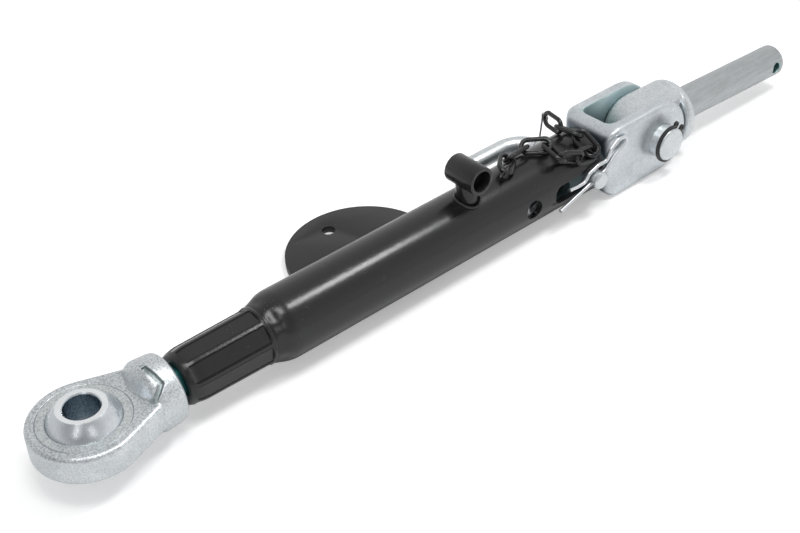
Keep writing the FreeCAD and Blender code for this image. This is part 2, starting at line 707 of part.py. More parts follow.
def rounded_wire(points, radius):
    """Straight runs joined by tangent arcs, as one wire."""
    points = [FreeCAD.Vector(*p) for p in points]
    edges = []
    start = points[0]
    for before, corner, after in zip(points, points[1:], points[2:]):
        back = (before - corner).normalize()
        ahead = (after - corner).normalize()
        turn = math.pi - back.getAngle(ahead)
        reach = radius * math.tan(turn / 2)
        middle = (back + ahead).normalize()
        inward = corner + middle * (radius / math.cos(turn / 2) - radius)
        edges.append(Part.makeLine(start, corner + back * reach))
        edges.append(Part.Arc(corner + back * reach, inward,
                              corner + ahead * reach).toShape())
        start = corner + ahead * reach
    edges.append(Part.makeLine(start, points[-1]))
    return Part.Wire(edges)


def wire_solid(path, radius):
    """Round wire along a path."""
    start = path.Edges[0].firstVertex().Point
    way = path.Edges[0].tangentAt(path.Edges[0].FirstParameter)
    ring_wire = Part.Wire(Part.makeCircle(radius, start, way))
    return path.makePipeShell([ring_wire], True, True)


def feature(label, shape, placement=None):
    """A sub-part whose shape is made in code from the sheet's values."""
    thing = doc.addObject("Part::Feature", label)
    thing.Shape = shape
    if placement:
        thing.Placement = placement
    return part(thing, label)


# Spring cotter through the tip of the locking pin: straight leg, loop and sprung leg

wire = value("cotter_wire")
clear = value("pin_radius") + wire + 0.15
part_of = value("cotter_loop") / 41
cotter = rounded_wire([(-value("cotter_leg"), 0, 0)] + [
    (across * part_of, 0, up * part_of) for across, up in (
        (11, 0), (24, 8.5), (39.5, 9.5), (41, 20.5), (30, 22.5), (19, 15.5), (14.5, 7.5))
] + [(5.5 * part_of, 0, clear + wire), (-5.5 * part_of, 0, clear + wire)] + [
    (across * part_of, 0, up * part_of) for across, up in (
        (-12.5, 6.6), (-20, 8.6), (-29.5, 12.6))
], wire * 2)
feature("spring_cotter", wire_solid(cotter, wire), FreeCAD.Placement(
    FreeCAD.Vector(value("pin_place"), -value("cotter_place"), 0),
    FreeCAD.Vector(0, 1, 0), -value("cotter_turn")))

# Chain: oval links lying over the tube, from the staple to the tether of the locking pin

tube_radius = value("tube_radius")
link_wire = value("link_wire")
half_width = value("link_half_width")
half_length = value("link_step") / 2 + link_wire + 0.4
start_of_chain = FreeCAD.Vector(value("lug_x"), 0, tube_radius)

# How each link lies: middle from the staple's place on the crown line of the tube,
# heading and climb of its long axis, and roll about it
CHAIN_LIE = [
    ((2.9, 0.9, 4.9), 40.4, -1.4, -26.0),
    ((20.1, 7.5, 4.1), 3.1, 2.7, 28.4),
    ((36.9, 1.9, 6.2), -42.6, 4.2, -41.1),
    ((42.2, -13.4, 4.8), -98.5, -6.6, 26.0),
    ((51.2, -22.6, 0.5), -10.4, -19.3, -75.2),
    ((68.5, -23.8, -5.1), 3.8, -12.5, -18.8),
    ((76.2, -16.9, -0.2), 99.4, 34.4, 24.3),
    ((73.4, 0.0, 5.3), 97.0, -0.0, -31.4),
    ((74.5, 19.1, 4.8), 77.8, -3.3, 42.1),
]


def link_axes(middle, heading, climb, roll):
    """Long axis and width direction of a link, rolled from lying flat on the tube."""
    level = math.cos(math.radians(climb))
    along = FreeCAD.Vector(level * math.cos(math.radians(heading)),
                           level * math.sin(math.radians(heading)),
                           math.sin(math.radians(climb)))
    outward = FreeCAD.Vector(0, middle.y, middle.z)
    outward = (outward - along * outward.dot(along)).normalize()
    turn = math.radians(roll)
    wide = along.cross(outward) * math.cos(turn) + outward * math.sin(turn)
    return along, wide


def oval_link(middle, along, wide):
    """A closed oval link of round wire."""
    a = middle - along * (half_length - half_width)
    b = middle + along * (half_length - half_width)
    side = wide * half_width
    path = Part.Wire([
        Part.makeLine(a + side, b + side),
        Part.Arc(b + side, b + along * half_width, b - side).toShape(),
        Part.makeLine(b - side, a - side),
        Part.Arc(a - side, a - along * half_width, a + side).toShape(),
    ])
    return wire_solid(path, link_wire)


links = []
for number, (offset, heading, climb, roll) in enumerate(CHAIN_LIE, 1):
    middle = start_of_chain + FreeCAD.Vector(*offset)
    along, wide = link_axes(middle, heading, climb, roll)
    links.append((middle, along, wide))
    feature("chain_link_%d" % number, oval_link(middle, along, wide))

# Staple on the tube that the chain starts from

middle, along, wide = links[0]
link_end = middle - along * half_length
outward = FreeCAD.Vector(0, link_end.y, link_end.z).normalize()
outward = (outward - wide * outward.dot(wide)).normalize()
height = FreeCAD.Vector(0, link_end.y, link_end.z).Length - tube_radius
staple_bend = (height + link_wire * 2.2) / 2
staple_middle = link_end + outward * (link_wire * 2.05 - staple_bend)
staple = Part.makeTorus(staple_bend, link_wire, staple_middle, wide)
core = Part.makeCylinder(tube_radius, tube_radius * 4,
                         FreeCAD.Vector(value("lug_x") - tube_radius * 2, 0, 0),
                         FreeCAD.Vector(1, 0, 0))
feature("chain_staple", staple.cut(core))

# Tether: a slack wire ring round the locking pin, with a small eye in the last link

tether = value("tether_wire")
slack_ring = value("pin_radius") + value("tether_slack") + tether
small_eye = link_wire * 2 + tether / 2
middle, along, wide = links[-1]
eye_middle = middle + along * (half_length + small_eye - tether - link_wire - 0.05)
ring_middle = FreeCAD.Vector(value("pin_place") - 1.6, tube_radius + 5, -2)
ring_top = ring_middle + FreeCAD.Vector(0, 0, slack_ring)
lead = (eye_middle - ring_top).normalize()
eye_back = eye_middle - (lead - wide * lead.dot(wide)).normalize() * small_eye
eye = Part.makeTorus(small_eye, tether, eye_middle, wide)
slack_loop = Part.makeTorus(slack_ring, tether, ring_middle, FreeCAD.Vector(0, 1, 0))
wire = Part.makeCylinder(tether * 0.9, (eye_back - ring_top).Length, ring_top,
                         eye_back - ring_top)
feature("tether", slack_loop.fuse([wire, eye]).removeSplitter())

# Check and export

doc.recompute()
for thing in doc.Objects:
    if "Invalid" in thing.State or "Error" in thing.State:
        raise RuntimeError("failed: " + thing.Name)
os.makedirs("parts", exist_ok=True)
for piece in PARTS:
    shape = piece.Shape
    if shape.isNull() or not shape.isValid():
        raise RuntimeError("bad shape: " + piece.Label)
    shape.exportStep(os.path.join("parts", piece.Label + ".step"))
    print(piece.Label, "%.0f mm3" % shape.Volume, "%d solids" % len(shape.Solids))
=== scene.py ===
import math

import bmesh
import bpy
from mathutils import Matrix, Vector


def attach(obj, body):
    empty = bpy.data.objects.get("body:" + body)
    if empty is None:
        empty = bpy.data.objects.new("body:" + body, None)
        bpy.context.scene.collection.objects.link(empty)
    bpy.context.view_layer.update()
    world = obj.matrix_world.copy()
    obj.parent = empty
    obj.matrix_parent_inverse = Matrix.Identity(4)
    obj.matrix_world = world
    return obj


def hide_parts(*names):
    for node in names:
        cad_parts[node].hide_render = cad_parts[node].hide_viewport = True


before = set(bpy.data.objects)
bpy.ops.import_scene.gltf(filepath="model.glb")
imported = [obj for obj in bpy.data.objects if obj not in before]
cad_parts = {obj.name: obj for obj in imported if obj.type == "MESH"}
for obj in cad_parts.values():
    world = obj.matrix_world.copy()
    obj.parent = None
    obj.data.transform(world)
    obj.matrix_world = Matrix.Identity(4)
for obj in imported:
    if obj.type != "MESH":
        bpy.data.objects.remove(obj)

MM = 0.001
scene = bpy.context.scene
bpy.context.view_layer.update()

# Sizes of the solids that shapes and finishes are fitted to, in millimetres from the
# ball's middle: X runs along the bar to the hinged pin, Z along the ball's bore

BALL_RADIUS, BALL_HALF, BORE, BALL_PLAY, RACE_OUTSIDE, RACE_HALF = 28, 22, 12.7, 0.08, 33, 11.5
COLLAR_CREST, COLLAR_BACK = 27.0, 65.0
RECESS_PATH = [(48.5, 90.6), (51.5, 129.0), (41.9, 148.0)]  # along X, and degrees round it
NECK_START, SWELL_END, NECK_END, TUBE_START, TUBE_END = 70.5, 85.5, 138.5, 161.5, 476.5
NECK_LIP, NECK_BELLY, NECK_ROOT, TUBE_RADIUS, STEM_BORE = 19.2, 22.1, 22.7, 27.7, 13.6
FLAT_COUNT, FLAT_TURN, FLAT_DEPTH, RIDGE_HALF = 8, 7.5, 1.7, 1.25
FLAT_START, FLAT_END = 75.0, 139.6
PIN_HOLE, SLOT_FIRST, SLOT_LAST, HOLE_RADIUS = 395, 419, 472, 8.1
FORK_BACK, FORK_WEB, EAR_GAP_HALF = 481.6, 491.0, 17.0
SHANK_START, CROSS_HOLE, CROSS_HOLE_RADIUS = 591.0, (725.943, -7.517), 5.0
POST_MIDDLE, POST_RADIUS, PLATE_MIDDLE, PLATE_TOP = (341.5, -6.0), 9.0, 284.0, -27.7
FLOOR_LEVEL = -34.5


# Camera, as the bar was photographed

def make_camera():
    """A long lens that looks over the ball's end along the bar, tipped a little."""
    data = bpy.data.cameras.new("Camera")
    data.sensor_width = 36
    data.lens = 62.02
    data.clip_end = 50
    camera = bpy.data.objects.new("Camera", data)
    place, target = Vector((-0.25763, -0.657148, 0.634545)), Vector((0.268735, -0.008727, 0))
    tip = math.radians(-2.946)
    ahead = (target - place).normalized()
    level = ahead.cross(Vector((0, 0, 1))).normalized()
    right = level * math.cos(tip) + level.cross(ahead) * math.sin(tip)
    turn = Matrix((right, right.cross(ahead), -ahead)).transposed().to_4x4()
    camera.matrix_world = Matrix.Translation(place) @ turn
    scene.collection.objects.link(camera)
    scene.camera = camera


# Node trees

def feed(tree, socket, given):
    """Link a socket to another one, or set its value."""
    if isinstance(given, bpy.types.NodeSocket):
        tree.links.new(given, socket)
    else:
        socket.default_value = given


def add(tree, kind, settings=None, **inputs):
    """Add a node; settings are its properties, inputs its sockets, by value or by link."""
    item = tree.nodes.new(kind)
    for key, setting in (settings or {}).items():
        setattr(item, key, setting)
    for key, given in inputs.items():
        feed(tree, find(item.inputs, key), given)
    return item


def find(sockets, key):
    """The enabled socket with that name, or its place in the list when the key is in_N."""
    if key.startswith("in_"):
        return sockets[int(key[3:])]
    wanted = key.replace("_", " ").lower()
    for socket in sockets:
        if socket.enabled and socket.name.lower() == wanted:
            return socket
    raise KeyError(key)


def math_node(tree, operation, *operands, clamp=False):
    item = add(tree, "ShaderNodeMath", {"operation": operation, "use_clamp": clamp})
    for socket, given in zip(item.inputs, operands):
        feed(tree, socket, given)
    return item.outputs[0]


def vector_node(tree, operation, *operands):
    """A vector sum on two vectors; its outputs are Vector and Value."""
    item = add(tree, "ShaderNodeVectorMath", {"operation": operation})
    for socket, given in zip(item.inputs, operands):
        feed(tree, socket, given)
    return item.outputs


def parts_of(tree, vector):
    """The X, Y and Z of a vector."""
    return add(tree, "ShaderNodeSeparateXYZ", vector=vector).outputs


def new_group(name, kind, inputs, outputs):
    """A node group with named sockets; returns the tree and its ends."""
    tree = bpy.data.node_groups.new(name, kind)
    for label, socket_type, default in inputs:
        socket = tree.interface.new_socket(label, in_out="INPUT", socket_type=socket_type)
        if default is not None:
            socket.default_value = default
    for label, socket_type in outputs:
        tree.interface.new_socket(label, in_out="OUTPUT", socket_type=socket_type)
    start = tree.nodes.new("NodeGroupInput")
    end = tree.nodes.new("NodeGroupOutput")
    return tree, start, end


FLOAT, VECTOR, COLOUR = "NodeSocketFloat", "NodeSocketVector", "NodeSocketColor"


def forged_skin_group():
    """Pitted, lumpy skin of a forging: its height, a cloudy mottle, and the pits alone."""
    tree, start, end = new_group(
        "Forged skin", "ShaderNodeTree",
        [("Vector", VECTOR, None), ("Pit scale", FLOAT, 900), ("Lump scale", FLOAT, 120)],
        [("Height", FLOAT), ("Mottle", FLOAT), ("Grain", FLOAT)])
    at = start.outputs["Vector"]
    pits = add(tree, "ShaderNodeTexNoise", vector=at, scale=start.outputs["Pit scale"],
               detail=3.0, roughness=0.65)
    lumps = add(tree, "ShaderNodeTexNoise", vector=at, scale=start.outputs["Lump scale"],
                detail=2.0, roughness=0.5)
    clouds = add(tree, "ShaderNodeTexNoise", vector=at, scale=38.0, detail=4.0, roughness=0.6)
    height = math_node(tree, "ADD", math_node(tree, "MULTIPLY", pits.outputs[0], 0.6),
                       lumps.outputs[0])
    mottle = math_node(tree, "ADD", math_node(tree, "MULTIPLY", clouds.outputs[0], 0.6),
                       math_node(tree, "MULTIPLY", pits.outputs[0], 0.4))
    tree.links.new(height, end.inputs["Height"])
    tree.links.new(mottle, end.inputs["Mottle"])
    grain = math_node(tree, "MULTIPLY", math_node(tree, "SUBTRACT", 0.53, pits.outputs[0]),
                      9.0, clamp=True)
    tree.links.new(grain, end.inputs["Grain"])
    return tree


def edge_wear_group():
    """Broken-up mask that follows the outer edges."""
    tree, start, end = new_group(
        "Edge wear", "ShaderNodeTree",
        [("Vector", VECTOR, None), ("Edge", FLOAT, 0.5), ("Edge start", FLOAT, 0.52),
         ("Edge width", FLOAT, 0.04), ("Break scale", FLOAT, 260)],
        [("Mask", FLOAT)])
    rim = math_node(tree, "DIVIDE", math_node(tree, "SUBTRACT", start.outputs["Edge"],
                                              start.outputs["Edge start"]),
                    start.outputs["Edge width"], clamp=True)
    breaks = add(tree, "ShaderNodeTexNoise", vector=start.outputs["Vector"],
                 scale=start.outputs["Break scale"], detail=4.0, roughness=0.7)
    gate = math_node(tree, "MULTIPLY", math_node(tree, "SUBTRACT", breaks.outputs[0], 0.48),
                     9.0, clamp=True)
    tree.links.new(math_node(tree, "MULTIPLY", rim, gate), end.inputs["Mask"])
    return tree


def tool_marks_group():
    """Fine rings left by a lathe along one axis, with a little wander."""
    tree, start, end = new_group(
        "Tool marks", "ShaderNodeTree",
        [("Distance", FLOAT, 0.0), ("Vector", VECTOR, None), ("Pitch", FLOAT, 0.0006)],
        [("Height", FLOAT)])
    wander = add(tree, "ShaderNodeTexNoise", vector=start.outputs["Vector"], scale=90.0)
    along = math_node(tree, "DIVIDE", start.outputs["Distance"], start.outputs["Pitch"])
    along = math_node(tree, "ADD", math_node(tree, "MULTIPLY", along, 2 * math.pi),
                      math_node(tree, "MULTIPLY", wander.outputs[0], 5.0))
    wave = math_node(tree, "SINE", along)
    uneven = math_node(tree, "MULTIPLY", wave, wander.outputs[0])
    tree.links.new(uneven, end.inputs["Height"])
    return tree


def scuff_group():
    """Sparse fine scratches and dust specks."""
    tree, start, end = new_group(
        "Scuffs", "ShaderNodeTree",
        [("Vector", VECTOR, None), ("Scratch scale", FLOAT, 60), ("Speck scale", FLOAT, 420)],
        [("Scratches", FLOAT), ("Specks", FLOAT)])
    stretched = add(tree, "ShaderNodeMapping", vector=start.outputs["Vector"],
                    rotation=(0.4, 0.2, 0.5), scale=(0.6, 9.0, 9.0))
    streaks = add(tree, "ShaderNodeTexNoise", vector=stretched.outputs[0],
                  scale=start.outputs["Scratch scale"], detail=6.0, roughness=0.75)
    thin = math_node(tree, "MULTIPLY", math_node(tree, "SUBTRACT", streaks.outputs[0], 0.66),
                     14.0, clamp=True)
    dots = add(tree, "ShaderNodeTexVoronoi", vector=start.outputs["Vector"],
               scale=start.outputs["Speck scale"])
    patches = add(tree, "ShaderNodeTexNoise", vector=start.outputs["Vector"], scale=55.0,
                  detail=3.0)
    near = math_node(tree, "LESS_THAN", dots.outputs["Distance"], 0.12)
    few = math_node(tree, "GREATER_THAN", patches.outputs[0], 0.6)
    tree.links.new(thin, end.inputs["Scratches"])
    tree.links.new(math_node(tree, "MULTIPLY", near, few), end.inputs["Specks"])
    return tree


FORGED_SKIN = forged_skin_group()
EDGE_WEAR = edge_wear_group()
TOOL_MARKS = tool_marks_group()
SCUFFS = scuff_group()


def start_material(name, colour, metallic, roughness, **more):
    """A material with a plain Principled shader; more are further socket values."""
    material = bpy.data.materials.new(name)
    material.use_nodes = True
    tree = material.node_tree
    shader = tree.nodes["Principled BSDF"]
    shader.inputs["Base Color"].default_value = (*colour, 1)
    shader.inputs["Metallic"].default_value = metallic
    shader.inputs["Roughness"].default_value = roughness
    for key, given in more.items():
        find(shader.inputs, key).default_value = given
    place = add(tree, "ShaderNodeTexCoord").outputs["Object"]
    return material, tree, shader, place


def use_group(tree, group, **inputs):
    return add(tree, "ShaderNodeGroup", {"node_tree": group}, **inputs).outputs


def colour_ramp(tree, factor, *stops):
    ramp = add(tree, "ShaderNodeValToRGB", fac=factor)
    band = ramp.color_ramp
    while len(band.elements) < len(stops):
        band.elements.new(0.5)
    for element, (position, colour) in zip(band.elements, stops):
        element.position = position
        element.color = (*colour, 1)
    return ramp.outputs["Color"]


def blend_colour(tree, factor, a, b):
    item = tree.nodes.new("ShaderNodeMix")
    item.data_type = "RGBA"
    tree.links.new(factor, item.inputs[0])
    for socket, given in ((item.inputs[6], a), (item.inputs[7], b)):
        if isinstance(given, bpy.types.NodeSocket):
            tree.links.new(given, socket)
        else:
            socket.default_value = (*given, 1)
    return item.outputs[2]


def bump(tree, shader, height, strength, distance):
    item = add(tree, "ShaderNodeBump", strength=strength, distance=distance, height=height)
    tree.links.new(item.outputs["Normal"], shader.inputs["Normal"])


def spread(tree, factor, low, high):
    """Map a mask from 0..1 to low..high."""
    return add(tree, "ShaderNodeMapRange", value=factor, to_min=low, to_max=high).outputs[0]


# The second grey is the colour of the painted shade in hollows.
PIT_GREY, HOLLOW_SHADE_GREY = (0.22, 0.235, 0.245), (0.14, 0.16, 0.17)


def darken_pits_and_shade_hollows(tree, tone, pits, grain):
    """Grey in the pits, most on faces that look up or down, and painted shade in the inner
    corners and creases.
    """
    surface = add(tree, "ShaderNodeNewGeometry").outputs
    facing = math_node(tree, "ABSOLUTE", parts_of(tree, surface["True Normal"])["Z"])
    level = add(tree, "ShaderNodeMapRange", value=facing, from_min=0.15, from_max=0.75,
                to_min=0.35).outputs[0]
    pits = math_node(tree, "MULTIPLY", pits, math_node(tree, "MULTIPLY", level, grain))
    tone = blend_colour(tree, pits, tone, PIT_GREY)
    # Painted shade: darker grey where the surface is hollow, found by its pointiness.
    hollow_shade = math_node(tree, "MULTIPLY", math_node(
        tree, "SUBTRACT", 0.492, surface["Pointiness"]), 22.0, clamp=True)
    return blend_colour(tree, math_node(tree, "MULTIPLY", hollow_shade, 0.75), tone, HOLLOW_SHADE_GREY)


def zinc(name, light, dark, roughness, pit_scale, depth, marks=None, tones_and_painted_light=(), streak=0,
         grain=0.0, metallic=1.0):
    """Zinc-plated steel. marks is (axis letter, pitch) for a turned surface;
    tones_and_painted_light are functions that give the mask of a tinted place, a painted shade
    or a painted highlight, and its colour; streak is how far the shine is drawn out round Z;
    grain is how dark the pits are, and it also brings the painted shade in hollows."""
    material, tree, shader, place = start_material(name, light, metallic, roughness)
    skin = use_group(tree, FORGED_SKIN, vector=place, pit_scale=pit_scale)
    tone = colour_ramp(tree, skin["Mottle"], (0.36, dark), (0.62, light))
    if grain:
        tone = darken_pits_and_shade_hollows(tree, tone, skin["Grain"], grain)
    # Each of these paints a tone, a painted shade or a painted highlight over the mottle.
    for tone_or_light in tones_and_painted_light:
        mask, colour = tone_or_light(tree, place)
        tone = blend_colour(tree, mask, tone, colour)
    tree.links.new(tone, shader.inputs["Base Color"])
    tree.links.new(spread(tree, skin["Mottle"], roughness + 0.13, roughness - 0.05),
                   shader.inputs["Roughness"])
    if streak:
        shader.inputs["Anisotropic"].default_value = streak
        turned = add(tree, "ShaderNodeTangent", {"direction_type": "RADIAL", "axis": "Z"})
        tree.links.new(turned.outputs[0], shader.inputs["Tangent"])
    height = skin["Height"]
    if marks:
        axis, pitch = marks
        turned = use_group(tree, TOOL_MARKS, distance=parts_of(tree, place)[axis],
                           vector=place, pitch=pitch)
        height = math_node(tree, "ADD", math_node(tree, "MULTIPLY", height, 0.25),
                           turned["Height"])
    bump(tree, shader, height, 1.0, depth)
    return material


def ramp_between(tree, socket, first, last):
    """0 before first, 1 after last, both in millimetres along a socket in metres."""
    item = add(tree, "ShaderNodeMapRange", value=socket, from_min=first * MM,
               from_max=last * MM)
    item.interpolation_type = "SMOOTHSTEP"
    return item.outputs[0]


def distance_between(tree, a, b):
    """Length of the side across from the right angle, as from an axis."""
    return math_node(tree, "SQRT", math_node(
        tree, "ADD", math_node(tree, "MULTIPLY", a, a), math_node(tree, "MULTIPLY", b, b)))


def bore_shade(tree, place):
    """Painted shade: dark blue-green inside the ball's bore."""
    spot = parts_of(tree, place)
    away = distance_between(tree, spot["X"], spot["Y"])
    return ramp_between(tree, away, BORE + 0.4, BORE + 0.2), (0.40, 0.47, 0.53)


def ball_face_highlight(tree, place):
    """Painted highlight: the flat end rings of the ball are coloured brighter than its round."""
    height = math_node(tree, "ABSOLUTE", parts_of(tree, place)["Z"])
    return ramp_between(tree, height, BALL_HALF - 0.4, BALL_HALF - 0.1), (0.95, 0.975, 0.99)


def stem_gap_shade(tree, place):
    """Painted shade: dark blue-green on the bare stem behind the collar, in the gap to the
    tube's neck.
    """
    along = parts_of(tree, place)["X"]
    return (ramp_between(tree, along, COLLAR_BACK - 0.3, COLLAR_BACK + 0.3),
            (0.03, 0.15, 0.15))


RECESS_FLOOR = 26.0


def recess_shade(tree, place):
    """Painted shade: dull grey along the bent recess, by the distance from its middle line."""
    spot = parts_of(tree, place)
    round_angle = math_node(tree, "ARCTAN2", spot["Z"], spot["Y"])
    unrolled = add(tree, "ShaderNodeCombineXYZ", x=spot["X"],
                   y=math_node(tree, "MULTIPLY", round_angle, RECESS_FLOOR * MM)).outputs[0]
    bends = [Vector((x, math.radians(turn) * RECESS_FLOOR, 0)) * MM for x, turn in RECESS_PATH]
    nearest = None
    for start, end in zip(bends, bends[1:]):
        run = end - start
        from_start = vector_node(tree, "SUBTRACT", unrolled, start)["Vector"]
        along = vector_node(tree, "DOT_PRODUCT", from_start, run / run.length_squared)["Value"]
        along = add(tree, "ShaderNodeClamp", value=along).outputs[0]
        on_line = add(tree, "ShaderNodeVectorMath", {"operation": "SCALE"}, vector=run,
                      scale=along).outputs["Vector"]
        gap = vector_node(tree, "DISTANCE", from_start, on_line)["Value"]
        nearest = gap if nearest is None else math_node(tree, "MINIMUM", nearest, gap)
    return (math_node(tree, "MULTIPLY", ramp_between(tree, nearest, 2.3, 1.5), 0.8),
            (0.30, 0.345, 0.35))


def fork_back_shade(tree, place):
    """Painted shade: dull blue-grey on the fork's back, which faces the tube."""
    along = parts_of(tree, place)["X"]
    return ramp_between(tree, along, FORK_BACK + 3.4, FORK_BACK), (0.22, 0.25, 0.29)


def crotch_shade(tree, place):
    """Painted shade: blue-green on the faces between the fork's ears."""
    spot = parts_of(tree, place)
    between = ramp_between(tree, math_node(tree, "ABSOLUTE", spot["Y"]), EAR_GAP_HALF + 1,
                           EAR_GAP_HALF)
    past_web = ramp_between(tree, spot["X"], FORK_WEB, FORK_WEB + 2)
    return math_node(tree, "MULTIPLY", between, past_web), (0.56, 0.68, 0.69)


def bar_slot_shade(tree, place):
    """Painted shade: dark blue-grey on the bar inside the tube, where it shows through the float
    slot.
    """
    along = parts_of(tree, place)["X"]
    return (ramp_between(tree, along, SLOT_FIRST - 13, SLOT_FIRST - 7),
            (0.07, 0.11, 0.12))


def shank_tint(tree, place):
    """Duller plating with faint streaks on the drawn shank of the hinged pin."""
    drawn = add(tree, "ShaderNodeMapping", vector=place, scale=(0.15, 1.0, 1.0))
    streaks = add(tree, "ShaderNodeTexNoise", vector=drawn.outputs[0], scale=330.0, detail=2.0)
    dull = add(tree, "ShaderNodeMapRange", value=streaks.outputs[0], from_min=0.38,
               from_max=0.62, to_min=0.62, to_max=0.80).outputs[0]
    shank = ramp_between(tree, parts_of(tree, place)["X"], SHANK_START, SHANK_START + 6)
    return math_node(tree, "MULTIPLY", shank, dull), (0.40, 0.425, 0.435)


def cross_hole_shade(tree, place):
    """Painted shade: blue-green inside the hole near the shank's end."""
    spot = parts_of(tree, place)
    away = distance_between(tree, math_node(tree, "SUBTRACT", spot["X"], CROSS_HOLE[0] * MM),
                            math_node(tree, "SUBTRACT", spot["Z"], CROSS_HOLE[1] * MM))
    return (ramp_between(tree, away, CROSS_HOLE_RADIUS + 0.6, CROSS_HOLE_RADIUS + 0.2),
            (0.33, 0.50, 0.50))


def black_paint(name, gloss, wear, metal=(0.42, 0.43, 0.44)):
    """Black paint over steel, rubbed through at the edges that stand out past wear."""
    paint, dust, scratch = (0.012, 0.012, 0.013), (0.10, 0.10, 0.10), (0.12, 0.12, 0.12)
    material, tree, shader, place = start_material(name, paint, 0.0, gloss)
    edge = add(tree, "ShaderNodeNewGeometry").outputs["Pointiness"]
    worn = use_group(tree, EDGE_WEAR, vector=place, edge=edge, edge_start=wear)["Mask"]
    scuffs = use_group(tree, SCUFFS, vector=place)
    skin = use_group(tree, FORGED_SKIN, vector=place, pit_scale=700.0, lump_scale=210.0)
    dusty = blend_colour(tree, scuffs["Specks"], paint, dust)
    scratched = blend_colour(tree, math_node(tree, "MULTIPLY", scuffs["Scratches"], 0.35),
                             dusty, scratch)
    tree.links.new(blend_colour(tree, worn, scratched, metal), shader.inputs["Base Color"])
    tree.links.new(worn, shader.inputs["Metallic"])
    dulled = math_node(tree, "ADD", spread(tree, skin["Mottle"], gloss - 0.06, gloss + 0.10),
                       math_node(tree, "MULTIPLY", scuffs["Scratches"], 0.25))
    tree.links.new(dulled, shader.inputs["Roughness"])
    bump(tree, shader, skin["Height"], 1.0, 0.00007)
    return material


# Meshes

def link_piece(name, mesh):
    piece = bpy.data.objects.new(name, mesh)
    scene.collection.objects.link(piece)
    return piece


def closed_piece(name, verts, faces, merge=0):
    """A shell with its faces turned outwards, and points nearer than merge made one."""
    mesh = bpy.data.meshes.new(name)
    mesh.from_pydata(verts, [], faces)
    bm = bmesh.new()
    bm.from_mesh(mesh)
    if merge:
        bmesh.ops.remove_doubles(bm, verts=bm.verts, dist=merge)
    bmesh.ops.recalc_face_normals(bm, faces=bm.faces)
    bm.to_mesh(mesh)
    bm.free()
    return link_piece(name, mesh)


def merged_copy(node, name):
    """A copy of a CAD node with its loose triangles joined up."""
    bm = bmesh.new()
    bm.from_mesh(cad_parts[node].data)
    bmesh.ops.remove_doubles(bm, verts=bm.verts, dist=2e-6)
    bm.verts.index_update()
    mesh = bpy.data.meshes.new(name)
    mesh.from_pydata([v.co.copy() for v in bm.verts], [],
                     [[v.index for v in f.verts] for f in bm.faces])
    bm.free()
    return link_piece(name, mesh)


def settle(piece):
    """Turn the modifiers into plain mesh."""
    graph = bpy.context.evaluated_depsgraph_get()
    mesh = bpy.data.meshes.new_from_object(piece.evaluated_get(graph))
    piece.modifiers.clear()
    piece.data = mesh
    return piece


def finish_piece(piece, material, body, angle=32, replaced=()):
    """Smooth shading up to an angle, one material, and its place on a body."""
    piece.data.materials.clear()
    piece.data.materials.append(material)
    piece.data.shade_smooth()
    piece.data.set_sharp_from_angle(angle=math.radians(angle))
    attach(piece, body)
    if replaced:
        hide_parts(*replaced)
    return piece


def forged_copy(node, name, voxel, rounds, tool=None):
    """A CAD node remeshed and relaxed, so that its edges round like a forging's."""
    piece = merged_copy(node, name)
    if tool:
        cut_away(piece, tool)
    remesh = piece.modifiers.new("Remesh", "REMESH")
    remesh.mode = "VOXEL"
    remesh.voxel_size = voxel * MM
    relax = piece.modifiers.new("Relax", "SMOOTH")
    relax.factor = 0.5
    relax.iterations = rounds
    return settle(piece)


def bevelled_copy(node, name, width, angle=35):
    """A CAD node with its machined edges broken."""
    piece = merged_copy(node, name)
    flat = piece.modifiers.new("Flat", "DECIMATE")
    flat.decimate_type = "DISSOLVE"
    flat.angle_limit = math.radians(0.4)
    edge = piece.modifiers.new("Edge", "BEVEL")
    edge.width = width * MM
    edge.segments = 2
    edge.limit_method = "ANGLE"
    edge.angle_limit = math.radians(angle)
    edge.use_clamp_overlap = True
    edge.harden_normals = False
    return settle(piece)


# Geometry node trees

GEOMETRY = "NodeSocketGeometry"
FINISH = ("Finish", "NodeSocketMaterial", None)


def new_shape(name, *sizes):
    """A tree that turns a line of points into a piece, with named sizes and a finish."""
    return new_group(name, "GeometryNodeTree", [("Geometry", GEOMETRY, None), *sizes, FINISH],
                     [("Geometry", GEOMETRY)])


def dress(tree, shape, start, end):
    """End a tree in plain mesh with the piece's finish."""
    real = add(tree, "GeometryNodeRealizeInstances", geometry=shape)
    dressed = add(tree, "GeometryNodeSetMaterial", geometry=real.outputs[0],
                  material=start.outputs["Finish"])
    tree.links.new(dressed.outputs[0], end.inputs["Geometry"])
    return tree


def round_corners(tree, curve, radius, count):
    """Bend every corner of a curve to one radius, in count steps."""
    return add(tree, "GeometryNodeFilletCurve", {"mode": "POLY"}, curve=curve, radius=radius,
               limit_radius=True, count=count).outputs[0]


def wire_tree():
    """Round wire along a line of points, with every corner bent to one radius."""
    tree, start, end = new_shape(
        "Bent wire", ("Bend radius", FLOAT, 0.003), ("Wire radius", FLOAT, 0.002),
        ("Sides", "NodeSocketInt", 20))
    line = add(tree, "GeometryNodeMeshToCurve", mesh=start.outputs["Geometry"])
    bent = round_corners(tree, line.outputs[0], start.outputs["Bend radius"], 14)
    profile = add(tree, "GeometryNodeCurvePrimitiveCircle", resolution=start.outputs["Sides"],
                  radius=start.outputs["Wire radius"])
    tube = add(tree, "GeometryNodeCurveToMesh", curve=bent, profile_curve=profile.outputs[0],
               fill_caps=True)
    return dress(tree, tube.outputs[0], start, end)


